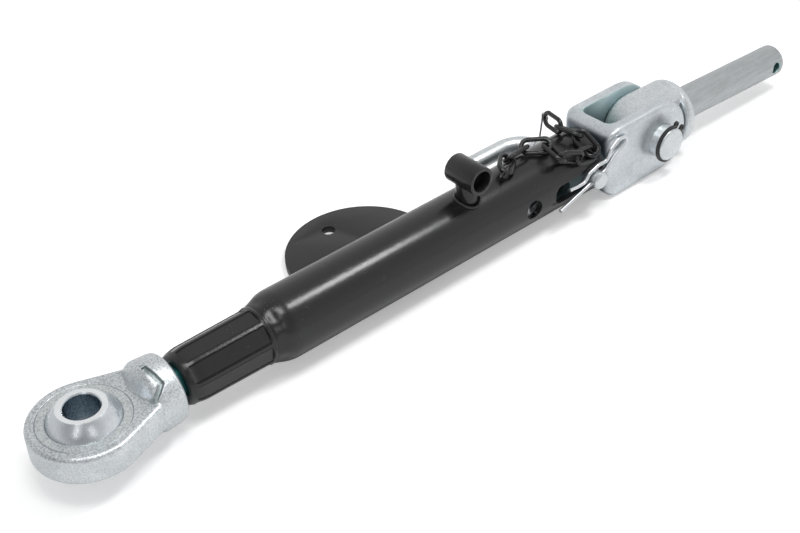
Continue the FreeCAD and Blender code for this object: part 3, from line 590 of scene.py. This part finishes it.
def link_tree():
    """One oval link of round wire on every point, turned by the point's Lie attribute."""
    tree, start, end = new_shape(
        "Oval links", ("Straight length", FLOAT, 0.0122), ("Half width", FLOAT, 0.0058),
        ("Wire radius", FLOAT, 0.0019))
    width = math_node(tree, "MULTIPLY", start.outputs["Half width"], 2.0)
    length = math_node(tree, "ADD", start.outputs["Straight length"], width)
    outline = add(tree, "GeometryNodeCurvePrimitiveQuadrilateral", width=length, height=width)
    oval = round_corners(tree, outline.outputs[0], start.outputs["Half width"], 12)
    profile = add(tree, "GeometryNodeCurvePrimitiveCircle", resolution=18,
                  radius=start.outputs["Wire radius"])
    wire = add(tree, "GeometryNodeCurveToMesh", curve=oval, profile_curve=profile.outputs[0])
    lie = add(tree, "GeometryNodeInputNamedAttribute", {"data_type": "FLOAT_VECTOR"},
              name="Lie")
    turned = add(tree, "FunctionNodeEulerToRotation", in_0=lie.outputs[0])
    placed = add(tree, "GeometryNodeInstanceOnPoints", points=start.outputs["Geometry"],
                 instance=wire.outputs[0], rotation=turned.outputs[0])
    return dress(tree, placed.outputs[0], start, end)


def bead_tree():
    """Overlapping ripples of a weld along a line of points."""
    tree, start, end = new_shape(
        "Weld ripples", ("Ripple step", FLOAT, 0.0016), ("Bead radius", FLOAT, 0.003),
        ("Seed", "NodeSocketInt", 3))
    line = add(tree, "GeometryNodeMeshToCurve", mesh=start.outputs["Geometry"])
    ripples = add(tree, "GeometryNodeCurveToPoints", {"mode": "LENGTH"}, curve=line.outputs[0],
                  length=start.outputs["Ripple step"])
    drop = add(tree, "GeometryNodeMeshIcoSphere", radius=start.outputs["Bead radius"],
               subdivisions=3)
    flatter, fuller = (0.45, 0.88, 0.88), (0.6, 1.06, 1.06)
    uneven = add(tree, "FunctionNodeRandomValue", {"data_type": "FLOAT_VECTOR"},
                 in_0=flatter, in_1=fuller, seed=start.outputs["Seed"])
    placed = add(tree, "GeometryNodeInstanceOnPoints", points=ripples.outputs["Points"],
                 instance=drop.outputs[0], rotation=ripples.outputs["Rotation"],
                 scale=uneven.outputs[0])
    return dress(tree, placed.outputs[0], start, end)


BENT_WIRE = wire_tree()
OVAL_LINKS = link_tree()
WELD_RIPPLES = bead_tree()


def grow(name, points, tree, closed=False, lies=None, **inputs):
    """A piece from a geometry node tree run on a line of points, in millimetres."""
    mesh = bpy.data.meshes.new(name)
    edges = [] if lies else [(i, i + 1) for i in range(len(points) - 1)]
    if closed:
        edges.append((len(points) - 1, 0))
    mesh.from_pydata([Vector(p) * MM for p in points], edges, [])
    if lies:
        layer = mesh.attributes.new("Lie", "FLOAT_VECTOR", "POINT")
        for item, lie in zip(layer.data, lies):
            item.vector = lie
    piece = link_piece(name, mesh)
    modifier = piece.modifiers.new("Shape", "NODES")
    modifier.node_group = tree
    for item in tree.interface.items_tree:
        key = item.name.lower().replace(" ", "_")
        if item.in_out == "INPUT" and key in inputs:
            modifier[item.identifier] = inputs[key]
    return settle(piece)


def join(name, *pieces):
    """One piece out of several, in place."""
    bm = bmesh.new()
    for piece in pieces:
        bm.from_mesh(piece.data)
        bpy.data.objects.remove(piece)
    mesh = bpy.data.meshes.new(name)
    bm.to_mesh(mesh)
    bm.free()
    return link_piece(name, mesh)


def lathe(name, outline, axis="X", sides=128, closed=False):
    """Turn an outline of (along, radius) in millimetres round an axis through the origin."""
    verts, faces = [], []
    for along, radius in outline:
        for k in range(sides):
            turn = 2 * math.pi * k / sides
            around = (radius * math.cos(turn), radius * math.sin(turn))
            spot = {"X": (along, *around), "Y": (around[1], along, around[0]),
                    "Z": (*around, along)}[axis]
            verts.append(Vector(spot) * MM)
    rows = len(outline)
    for i in range(rows if closed else rows - 1):
        for k in range(sides):
            a, b = i * sides + k, i * sides + (k + 1) % sides
            c, d = (b + sides) % len(verts), (a + sides) % len(verts)
            faces.append((a, b, c, d))
    if not closed:
        faces.append(tuple(reversed(range(sides))))
        faces.append(tuple(range((rows - 1) * sides, rows * sides)))
    return closed_piece(name, verts, faces)


def cut_away(piece, tool):
    """Take a tool's shape out of a piece."""
    cut = piece.modifiers.new("Cut", "BOOLEAN")
    cut.operation = "DIFFERENCE"
    cut.solver = "EXACT"
    cut.object = tool
    settle(piece)
    bpy.data.objects.remove(tool)
    return piece


# Finishes

BLACK_GLOSS = black_paint("Black gloss paint", 0.22, 0.56)
BLACK_CHAIN = black_paint("Black paint on chain", 0.19, 0.545, (0.30, 0.31, 0.32))
BLACK_PLATE = black_paint("Black satin paint", 0.42, 0.60)
FORGED_ZINC = zinc("Zinc on forging", (0.765, 0.80, 0.82), (0.59, 0.625, 0.645), 0.38,
                   820.0, 0.0003, tones_and_painted_light=[recess_shade, stem_gap_shade], grain=0.5)
RACE_ZINC = zinc("Zinc on race ring", (0.76, 0.79, 0.80), (0.58, 0.62, 0.63), 0.36, 820.0,
                 0.0002, grain=0.4)
FORK_ZINC = zinc("Zinc on fork", (0.75, 0.79, 0.82), (0.56, 0.60, 0.63), 0.36, 620.0,
                 0.00010, tones_and_painted_light=[crotch_shade, fork_back_shade], grain=0.10)
SMOOTH_ZINC = zinc("Zinc on smooth forging", (0.78, 0.81, 0.83), (0.62, 0.655, 0.67), 0.34,
                   560.0, 0.00008, grain=0.09)
SHANK_ZINC = zinc("Zinc on hinged pin", (0.79, 0.82, 0.84), (0.62, 0.655, 0.67), 0.34,
                  560.0, 0.00008, tones_and_painted_light=[shank_tint, cross_hole_shade], grain=0.14)
TURNED_ZINC = zinc("Zinc on turned bar", (0.86, 0.88, 0.90), (0.74, 0.76, 0.78), 0.34,
                   1200.0, 0.00002, ("X", 0.0007), [bar_slot_shade], metallic=0.45)
BRIGHT_BALL = zinc("Turned ball", (0.72, 0.755, 0.79), (0.64, 0.68, 0.715), 0.23,
                   300.0, 0.000004, ("Z", 0.0006), [ball_face_highlight, bore_shade], 0.6)
WIRE_ZINC = zinc("Zinc on wire", (0.78, 0.80, 0.82), (0.62, 0.64, 0.66), 0.26, 1200.0,
                 0.00002)
SPRING_BLACK = black_paint("Blackened spring steel", 0.38, 0.58)

make_camera()

# Tube: drawn neck with pressed flats, shoulder, plain tube, locking hole and slot

TUBE_WALL, MOUTH_RIM = 5.0, 0.8


def ease(t):
    """From 0 to 1, starting and ending level."""
    t = min(1.0, max(0.0, t))
    return t * t * (3 - 2 * t)


def arc_rise(along, length, height):
    """Height reached so far along an arc that ends level."""
    radius = (length ** 2 + height ** 2) / (2 * height)
    return math.sqrt(radius ** 2 - (length - along) ** 2) - radius + height


def round_radius(x):
    """Outside of the tube before its flats are pressed in."""
    half, rise = (TUBE_START - NECK_END) / 2, (TUBE_RADIUS - NECK_ROOT) / 2
    if x < NECK_START + 1:
        return NECK_LIP - 1 + (x - NECK_START)
    if x < SWELL_END:
        return NECK_LIP + arc_rise(x - NECK_START - 1, SWELL_END - NECK_START - 1,
                                   NECK_BELLY - NECK_LIP)
    if x < NECK_END:
        return NECK_BELLY + (NECK_ROOT - NECK_BELLY) * (x - SWELL_END) / (NECK_END - SWELL_END)
    if x < NECK_END + half:
        return NECK_ROOT + rise - arc_rise(NECK_END + half - x, half, rise)
    if x < TUBE_START:
        return NECK_ROOT + rise + arc_rise(x - NECK_END - half, half, rise)
    return TUBE_RADIUS


def round_one_flat():
    """Places round one flat and the ridge beside it: degrees from the flat's middle, and
    how far the press reaches there."""
    edge = 180 / FLAT_COUNT
    ridge = math.degrees(RIDGE_HALF / NECK_BELLY)
    flat = edge - ridge * 1.16
    places = [(flat * k / 7, 1.0) for k in range(-6, 7)]
    places = [(-flat, 1.9), (-flat * 0.95, 1.7)] + places + [(flat * 0.95, 1.7), (flat, 1.9)]
    places += [(edge - ridge * share, 0.1 * (share == 1)) for share in (1, 0.72, 0.3)]
    places += [(edge + ridge * share, 0.1 * (share == 1)) for share in (0.3, 0.72, 1)]
    return places


def tube_radius_at(x, off, pressed):
    """Outside of the tube, with the flats, the crease behind them and the shoulder's waves."""
    radius = round_radius(x)
    across = abs(math.radians(off)) * NECK_BELLY
    corner = max(0, across - 4.4) ** 2 / 5
    begins = ease((x - FLAT_START - corner) / 0.45)
    ends = ease((FLAT_END - 0.012 * across ** 2 - x) / 0.5)
    flat = min(radius, (radius - FLAT_DEPTH) / math.cos(math.radians(off)))
    wave = 0.4 * math.exp(-((x - 148) / 4.5) ** 2) * math.cos(math.radians(FLAT_COUNT * off))
    crease = 0.5 * math.exp(-((x - 142.4) / 1.1) ** 2)
    lip = 0.3 * math.exp(-((x - 140.6) / 0.5) ** 2)
    return radius - begins * ends * pressed * (radius - flat) + wave - crease + lip


def steps(first, last, step):
    return [first + step * k for k in range(int((last - first) / step))]


def tube_outside():
    """The tube's shell: rings of points along its outside, and back through its bore."""
    around = [(FLAT_TURN + k * 360 / FLAT_COUNT + off, off, pressed)
              for k in range(FLAT_COUNT) for off, pressed in round_one_flat()]
    sides = len(around)
    mouth = TUBE_END - MOUTH_RIM
    spans = [(NECK_START, 71.5, 0.25), (71.5, 74.7, 0.4), (74.7, 77.4, 0.15),
             (77.4, 137.4, 2.5), (137.4, 141.4, 0.12), (141.4, 163, 0.45), (163, 380, 8),
             (380, mouth, 2)]
    stations = [x for span in spans for x in steps(*span)]
    stations += [TUBE_END - drop for drop in (MOUTH_RIM, 0.55, 0.3, 0.12, 0)]
    rows = []
    for x in stations:
        back = max(0.0, x - mouth)
        rim = MOUTH_RIM - math.sqrt(max(0.0, MOUTH_RIM ** 2 - back ** 2))
        rows.append([(x, tube_radius_at(x, off, pressed) - rim)
                     for turn, off, pressed in around])
    bore = TUBE_RADIUS - TUBE_WALL
    for place in [(TUBE_END, bore + 0.6), (TUBE_END - 0.6, bore), (169, bore),
                  (144, STEM_BORE), (NECK_START + 0.8, STEM_BORE),
                  (NECK_START, STEM_BORE + 0.8)]:
        rows.append([place] * sides)
    verts = []
    for row in rows:
        for (x, radius), (turn, off, pressed) in zip(row, around):
            turn = math.radians(turn)
            verts.append(Vector((x, radius * math.cos(turn), radius * math.sin(turn))) * MM)
    faces = []
    for i in range(len(rows)):
        j = (i + 1) % len(rows)
        for k in range(sides):
            n = (k + 1) % sides
            faces.append((i * sides + k, i * sides + n, j * sides + n, j * sides + k))
    return closed_piece("outer_tube_body", verts, faces)


def slot_tool(first, last, radius, count=24):
    """Cutter across the tube with round ends, from first to last along it."""
    ring = []
    for centre, start in ((last - radius, -math.pi / 2), (first + radius, math.pi / 2)):
        for k in range(count + 1):
            turn = start + math.pi * k / count
            ring.append((centre + radius * math.cos(turn), radius * math.sin(turn)))
    reach = TUBE_RADIUS + 12.3
    verts = [Vector((x, y, z)) * MM for y in (-reach, reach) for x, z in ring]
    n = len(ring)
    faces = [(k, (k + 1) % n, n + (k + 1) % n, n + k) for k in range(n)]
    faces += [tuple(range(n)), tuple(reversed(range(n, 2 * n)))]
    return closed_piece("cutter", verts, faces, 1e-6)


def break_rims(piece, width):
    """Round the sharp rims of the hole and the slot."""
    bm = bmesh.new()
    bm.from_mesh(piece.data)
    rims = []
    for edge in bm.edges:
        spots = [v.co / MM for v in edge.verts]
        middle = (spots[0] + spots[1]) / 2
        nearest = min(max(middle.x, SLOT_FIRST + HOLE_RADIUS), SLOT_LAST - HOLE_RADIUS)
        if middle.x < (PIN_HOLE + SLOT_FIRST) / 2:
            nearest = PIN_HOLE
        off = math.hypot(middle.x - nearest, middle.z)
        if (PIN_HOLE - 10 < middle.x < TUBE_END - 1 and abs(off - HOLE_RADIUS) < 0.12
                and all(abs(math.hypot(s.y, s.z) - TUBE_RADIUS) < 0.05 for s in spots)):
            rims.append(edge)
    bmesh.ops.bevel(bm, geom=rims, offset=width * MM, segments=2, affect="EDGES",
                    clamp_overlap=True)
    bm.to_mesh(piece.data)
    bm.free()


tube = tube_outside()
cut_away(tube, slot_tool(SLOT_FIRST, SLOT_LAST, HOLE_RADIUS))
cut_away(tube, slot_tool(PIN_HOLE - HOLE_RADIUS - 0.001, PIN_HOLE + HOLE_RADIUS + 0.001,
                         HOLE_RADIUS))
break_rims(tube, 0.45)
finish_piece(tube, BLACK_GLOSS, "tube", 28, ["outer_tube"])

# Forged pieces: the frame's solids with the soft edges of a forging

def recess_tool(half_width, floor, top):
    """Cutter for the bent recess in the collar: a band that follows the recess's path."""
    path = [Vector((x, math.radians(turn) * COLLAR_CREST)) for x, turn in RECESS_PATH]
    sides = []
    for k, spot in enumerate(path):
        ahead = (path[min(k + 1, 2)] - path[min(k, 1)]).normalized()
        behind = (path[max(k, 1)] - path[max(k - 1, 0)]).normalized()
        along = (ahead + behind).normalized()
        reach = half_width / along.dot(ahead)
        sides.append((spot, Vector((-along.y, along.x)) * reach))
    rails = []
    for (a, off_a), (b, off_b) in zip(sides, sides[1:]):
        for k in range(8):
            rails.append((a.lerp(b, k / 8), off_a.lerp(off_b, k / 8)))
    rails.append(sides[-1])
    verts = []
    for spot, off in rails:
        for radius, side in ((floor, 1), (floor, -1), (top, -1), (top, 1)):
            flat = spot + off * side
            turn = flat.y / COLLAR_CREST
            verts.append(Vector((flat.x, radius * math.cos(turn), radius * math.sin(turn))) * MM)
    faces = [(0, 1, 2, 3), tuple(len(verts) - k for k in (1, 2, 3, 4))]
    for k in range(len(rails) - 1):
        for m in range(4):
            n = (m + 1) % 4
            faces.append((4 * k + m, 4 * k + n, 4 * k + 4 + n, 4 * k + 4 + m))
    return closed_piece("recess", verts, faces)


eye = forged_copy("ball_eye", "eye_forging", 0.6, 3,
                  recess_tool(half_width=1.9, floor=24.3, top=31))
finish_piece(eye, FORGED_ZINC, "eye", 60, ["ball_eye"])
fork = forged_copy("fork", "fork_forging", 0.6, 6)
finish_piece(fork, FORK_ZINC, "bar", 60, ["fork"])
swivel = forged_copy("hinged_pin", "hinged_pin_forging", 0.65, 5)
finish_piece(swivel, SHANK_ZINC, "end_pin", 60, ["hinged_pin"])

# Ball and race, turned about the bore

BORE_BEVEL, RACE_BEVEL, RACE_MOUTH = 1.1, 0.9, 26.6


def sphere_arc(radius, first, last, count=40):
    """(along, radius) points of a ball's outside between two heights."""
    heights = [first + (last - first) * k / count for k in range(count + 1)]
    return [(z, math.sqrt(radius ** 2 - z ** 2)) for z in heights]


ball_profile = [(BALL_HALF - BORE_BEVEL, BORE), (BORE_BEVEL - BALL_HALF, BORE),
                (-BALL_HALF, BORE + BORE_BEVEL)]
ball_profile += sphere_arc(BALL_RADIUS, -BALL_HALF, BALL_HALF)
ball_profile += [(BALL_HALF, BORE + BORE_BEVEL)]
ball = lathe("ball_turned", ball_profile, "Z", 160, closed=True)
finish_piece(ball, BRIGHT_BALL, "ball", 22, ["ball"])

race_lip = RACE_HALF - 0.8
race_profile = [(-RACE_HALF, RACE_MOUTH), (-RACE_HALF, RACE_OUTSIDE - 0.7),
                (RACE_BEVEL - RACE_HALF, RACE_OUTSIDE), (RACE_HALF - RACE_BEVEL, RACE_OUTSIDE),
                (RACE_HALF, RACE_OUTSIDE - 0.7), (RACE_HALF, RACE_MOUTH)]
race_profile += sphere_arc(BALL_RADIUS + BALL_PLAY, race_lip, -race_lip, 16)
race = lathe("race_ring", race_profile, "Z", 160, closed=True)
finish_piece(race, RACE_ZINC, "eye", 30, ["ball_race"])

# Turned and cut pieces, with their edges broken

MACHINED = [
    ("round_plate", "round_plate_disc", 0.5, BLACK_PLATE, "tube", "plate_paint"),
    ("cross_tube", "cross_tube_sleeve", 0.5, BLACK_GLOSS, "tube", "rest_tube_paint"),
    ("cross_tube_post", "cross_tube_stub", 0.3, BLACK_GLOSS, "tube", "rest_post_paint"),
    ("sliding_bar", "sliding_bar_tube", 0.3, TURNED_ZINC, "bar", "bar_zinc"),
    ("pivot_pin", "pivot_pin_turned", 0.4, SMOOTH_ZINC, "bar", "pivot_zinc"),
    ("snap_ring_near", "snap_ring_front", 0.2, SPRING_BLACK, "bar", "snap_ring_steel"),
    ("snap_ring_far", "snap_ring_back", 0.2, SPRING_BLACK, "bar", "snap_ring_steel"),
    ("locking_pin", "locking_pin_rod", 0.4, SMOOTH_ZINC, "lock", "locking_pin_zinc"),
]
for node, name, width, material, body, slot in MACHINED:
    finish_piece(bevelled_copy(node, name, width), material, body, 32, [node])

# Chain: for each link its middle from the chain's start, its heading and climb in
# degrees, and its roll from lying flat on the tube

START_OF_CHAIN = Vector((388.0, 0, TUBE_RADIUS))
CHAIN_LIE = [
    ((2.9, 0.9, 4.9), 40.4, -1.4, -26.0),
    ((20.1, 7.5, 4.1), 3.1, 2.7, 28.4),
    ((36.9, 1.9, 6.2), -42.6, 4.2, -41.1),
    ((42.2, -13.4, 4.8), -98.5, -6.6, 26.0),
    ((51.2, -22.6, 0.5), -10.4, -19.3, -75.2),
    ((68.5, -23.8, -5.1), 3.8, -12.5, -18.8),
    ((76.2, -16.9, -0.2), 99.4, 34.4, 24.3),
    ((73.4, 0.0, 5.3), 97.0, -0.0, -31.4),
    ((74.5, 19.1, 4.8), 77.8, -3.3, 77.0),
]


def link_turn(middle, heading, climb, roll):
    """The link's turn: its long axis, its width and its thickness as columns."""
    level = math.cos(math.radians(climb))
    along = Vector((level * math.cos(math.radians(heading)),
                    level * math.sin(math.radians(heading)), math.sin(math.radians(climb))))
    outward = Vector((0, middle.y, middle.z))
    outward = (outward - along * outward.dot(along)).normalized()
    turn = math.radians(roll)
    wide = along.cross(outward) * math.cos(turn) + outward * math.sin(turn)
    return Matrix((along, wide, along.cross(wide))).transposed()


middles = [START_OF_CHAIN + Vector(lie[0]) for lie in CHAIN_LIE]
turns = [tuple(link_turn(m, *lie[1:]).to_euler()) for m, lie in zip(middles, CHAIN_LIE)]
chain = grow("chain_links", middles, OVAL_LINKS, lies=turns, straight_length=12.2 * MM,
             half_width=5.8 * MM, wire_radius=1.9 * MM, finish=BLACK_CHAIN)
finish_piece(chain, BLACK_CHAIN, "tube", 60,
             ["chain_link_%d" % k for k in range(1, 10)])

# Spring cotter: bends of its wire, from the straight leg's end round the loop

LEAN = math.radians(17.5)
LOCK_X, COTTER_Y = 463.5, -30.3
COTTER = [(-43.5, 0), (11, 0), (24, 5.6), (39.5, 8), (41, 14), (31.5, 18), (21.5, 14.8),
          (14.5, 8), (5.5, 10.95), (-5.5, 10.95), (-12.5, 6.6), (-20, 8.6), (-29.5, 12.6)]
cotter_points = [(LOCK_X + u * math.cos(LEAN) - v * math.sin(LEAN), COTTER_Y,
                  u * math.sin(LEAN) + v * math.cos(LEAN)) for u, v in COTTER]
cotter = grow("spring_cotter_wire", cotter_points, BENT_WIRE, bend_radius=3.4 * MM,
              wire_radius=1.7 * MM, finish=WIRE_ZINC)
finish_piece(cotter, WIRE_ZINC, "lock", 50, ["spring_cotter"])

# Tether: slack ring round the locking pin, and a hooked lead to the last link

RING_MIDDLE, RING_RADIUS = Vector((461.9, 32.7, -2)), 13.8
ring_points = [RING_MIDDLE + RING_RADIUS * Vector((math.sin(turn), 0, math.cos(turn)))
               for turn in (math.radians(k * 15) for k in range(24))]
lead_points = [ring_points[0] + Vector((0.5, -1.6, -3)), ring_points[0] + Vector((0, 0.6, 1)),
               Vector((464.6, 33.6, 28.6)), Vector((465.3, 34.0, 34.0)),
               Vector((465.2, 29.2, 35.4)), Vector((465.0, 27.9, 31.2)),
               Vector((464.8, 30.2, 28.4))]
tether = join("tether_wire", *(
    grow(name, points, BENT_WIRE, closed=closed, bend_radius=1.4 * MM, wire_radius=0.85 * MM,
         sides=12, finish=WIRE_ZINC)
    for name, points, closed in (("ring", ring_points, True), ("lead", lead_points, False))))
finish_piece(tether, WIRE_ZINC, "tube", 60, ["tether"])

# Weld beads: ripples round the post and along both sides of the plate's seat

post_ring = []
for k in range(36):
    turn = math.radians(10 * k)
    x = POST_MIDDLE[0] + (POST_RADIUS + 0.9) * math.cos(turn)
    y = POST_MIDDLE[1] + (POST_RADIUS + 0.9) * math.sin(turn)
    post_ring.append((x, y, math.sqrt(TUBE_RADIUS ** 2 - y ** 2) + 0.3))
post_weld = grow("post_weld_bead", post_ring, WELD_RIPPLES, closed=True, ripple_step=1.5 * MM,
                 bead_radius=2.3 * MM, seed=5, finish=BLACK_GLOSS)
finish_piece(post_weld, BLACK_GLOSS, "tube", 50, ["cross_tube_weld"])

plate_beads = []
for across, half_length, radius in ((10.6, 26, 2.6), (-4.0, 12, 1.6)):
    line = [(PLATE_MIDDLE + end, across, PLATE_TOP + 0.5) for end in (-half_length, half_length)]
    plate_beads.append(grow("plate_bead", line, WELD_RIPPLES, ripple_step=1.6 * MM,
                            bead_radius=radius * MM, seed=8, finish=BLACK_PLATE))
plate_weld = join("plate_weld_beads", *plate_beads)
finish_piece(plate_weld, BLACK_PLATE, "tube", 50, ["plate_weld"])

# Pieces that keep the frame's own mesh

for node, material in (("chain_staple", BLACK_CHAIN), ("fork_weld", SMOOTH_ZINC)):
    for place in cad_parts[node].material_slots:
        place.material = material

# Floor, world and lamps

def make_floor():
    """Pale floor that looks near white to the camera and still takes the bar's shadow."""
    size, z = 6.0, FLOOR_LEVEL * MM
    mesh = bpy.data.meshes.new("Floor")
    mesh.from_pydata([(-size, -size, z), (size, -size, z), (size, size, z), (-size, size, z)],
                     [], [(0, 1, 2, 3)])
    floor = link_piece("Floor", mesh)
    material, tree, shader, place = start_material(
        "Pale floor", (0.9, 0.9, 0.9), 0.0, 0.9, specular_ior_level=0.0,
        emission_color=(1, 1, 1, 1))
    seen = add(tree, "ShaderNodeLightPath").outputs["Is Camera Ray"]
    tree.links.new(math_node(tree, "MULTIPLY", seen, 0.3), shader.inputs["Emission Strength"])
    mesh.materials.append(material)


def make_world():
    """Pale studio, dimmer overhead, on the ball's side and behind the camera."""
    world = bpy.data.worlds.new("Pale studio")
    scene.world = world
    world.use_nodes = True
    tree = world.node_tree
    background = tree.nodes["Background"]
    place = add(tree, "ShaderNodeTexCoord").outputs["Generated"]
    direction = parts_of(tree, place)
    height = spread(tree, direction["Z"], 0.92, 0.62)
    side = add(tree, "ShaderNodeMapRange", value=direction["X"], from_min=-0.9,
               from_max=0.1, to_min=0.8, to_max=1.0).outputs[0]
    near_lens = vector_node(tree, "DOT_PRODUCT", place, (-0.5, -0.62, 0.605))["Value"]
    shade = add(tree, "ShaderNodeMapRange", value=near_lens, from_min=0.35, from_max=0.95,
                to_min=1.0, to_max=0.42).outputs[0]
    lit = math_node(tree, "MULTIPLY", math_node(tree, "MULTIPLY", height, side), shade)
    seen = add(tree, "ShaderNodeLightPath").outputs["Is Camera Ray"]
    tree.links.new(math_node(tree, "MAXIMUM", lit, seen), background.inputs["Strength"])
    background.inputs["Color"].default_value = (1, 1, 1, 1)


def softbox(name, place, target, width, length, power, along=(1, 0, 0)):
    """A rectangular lamp that faces the target, its long side along a direction."""
    data = bpy.data.lights.new(name, "AREA")
    data.shape = "RECTANGLE"
    data.size, data.size_y = width, length
    data.energy = power
    lamp = bpy.data.objects.new(name, data)
    back = (Vector(place) - Vector(target)).normalized()
    side = (Vector(along) - back * Vector(along).dot(back)).normalized()
    lamp.matrix_world = Matrix.Translation(place) @ Matrix(
        (back.cross(side) * -1, side, back)).transposed().to_4x4()
    scene.collection.objects.link(lamp)


make_floor()
make_world()
softbox("Key", (0.73, -0.24, 1.0), (0.2, 0, 0), 0.22, 0.24, 4.0)
softbox("Top", (0.0, -0.24, 1.05), (0.15, 0, 0), 0.36, 0.36, 3.2)
softbox("Left strip", (-0.62, -0.40, 0.62), (0, 0, 0), 0.07, 0.6, 0.55, (0, 0, 1))
softbox("Right strip", (-0.10, -0.92, 0.62), (0, 0, 0), 0.07, 0.6, 0.55, (0, 0, 1))

scene.view_settings.view_transform = "Standard"
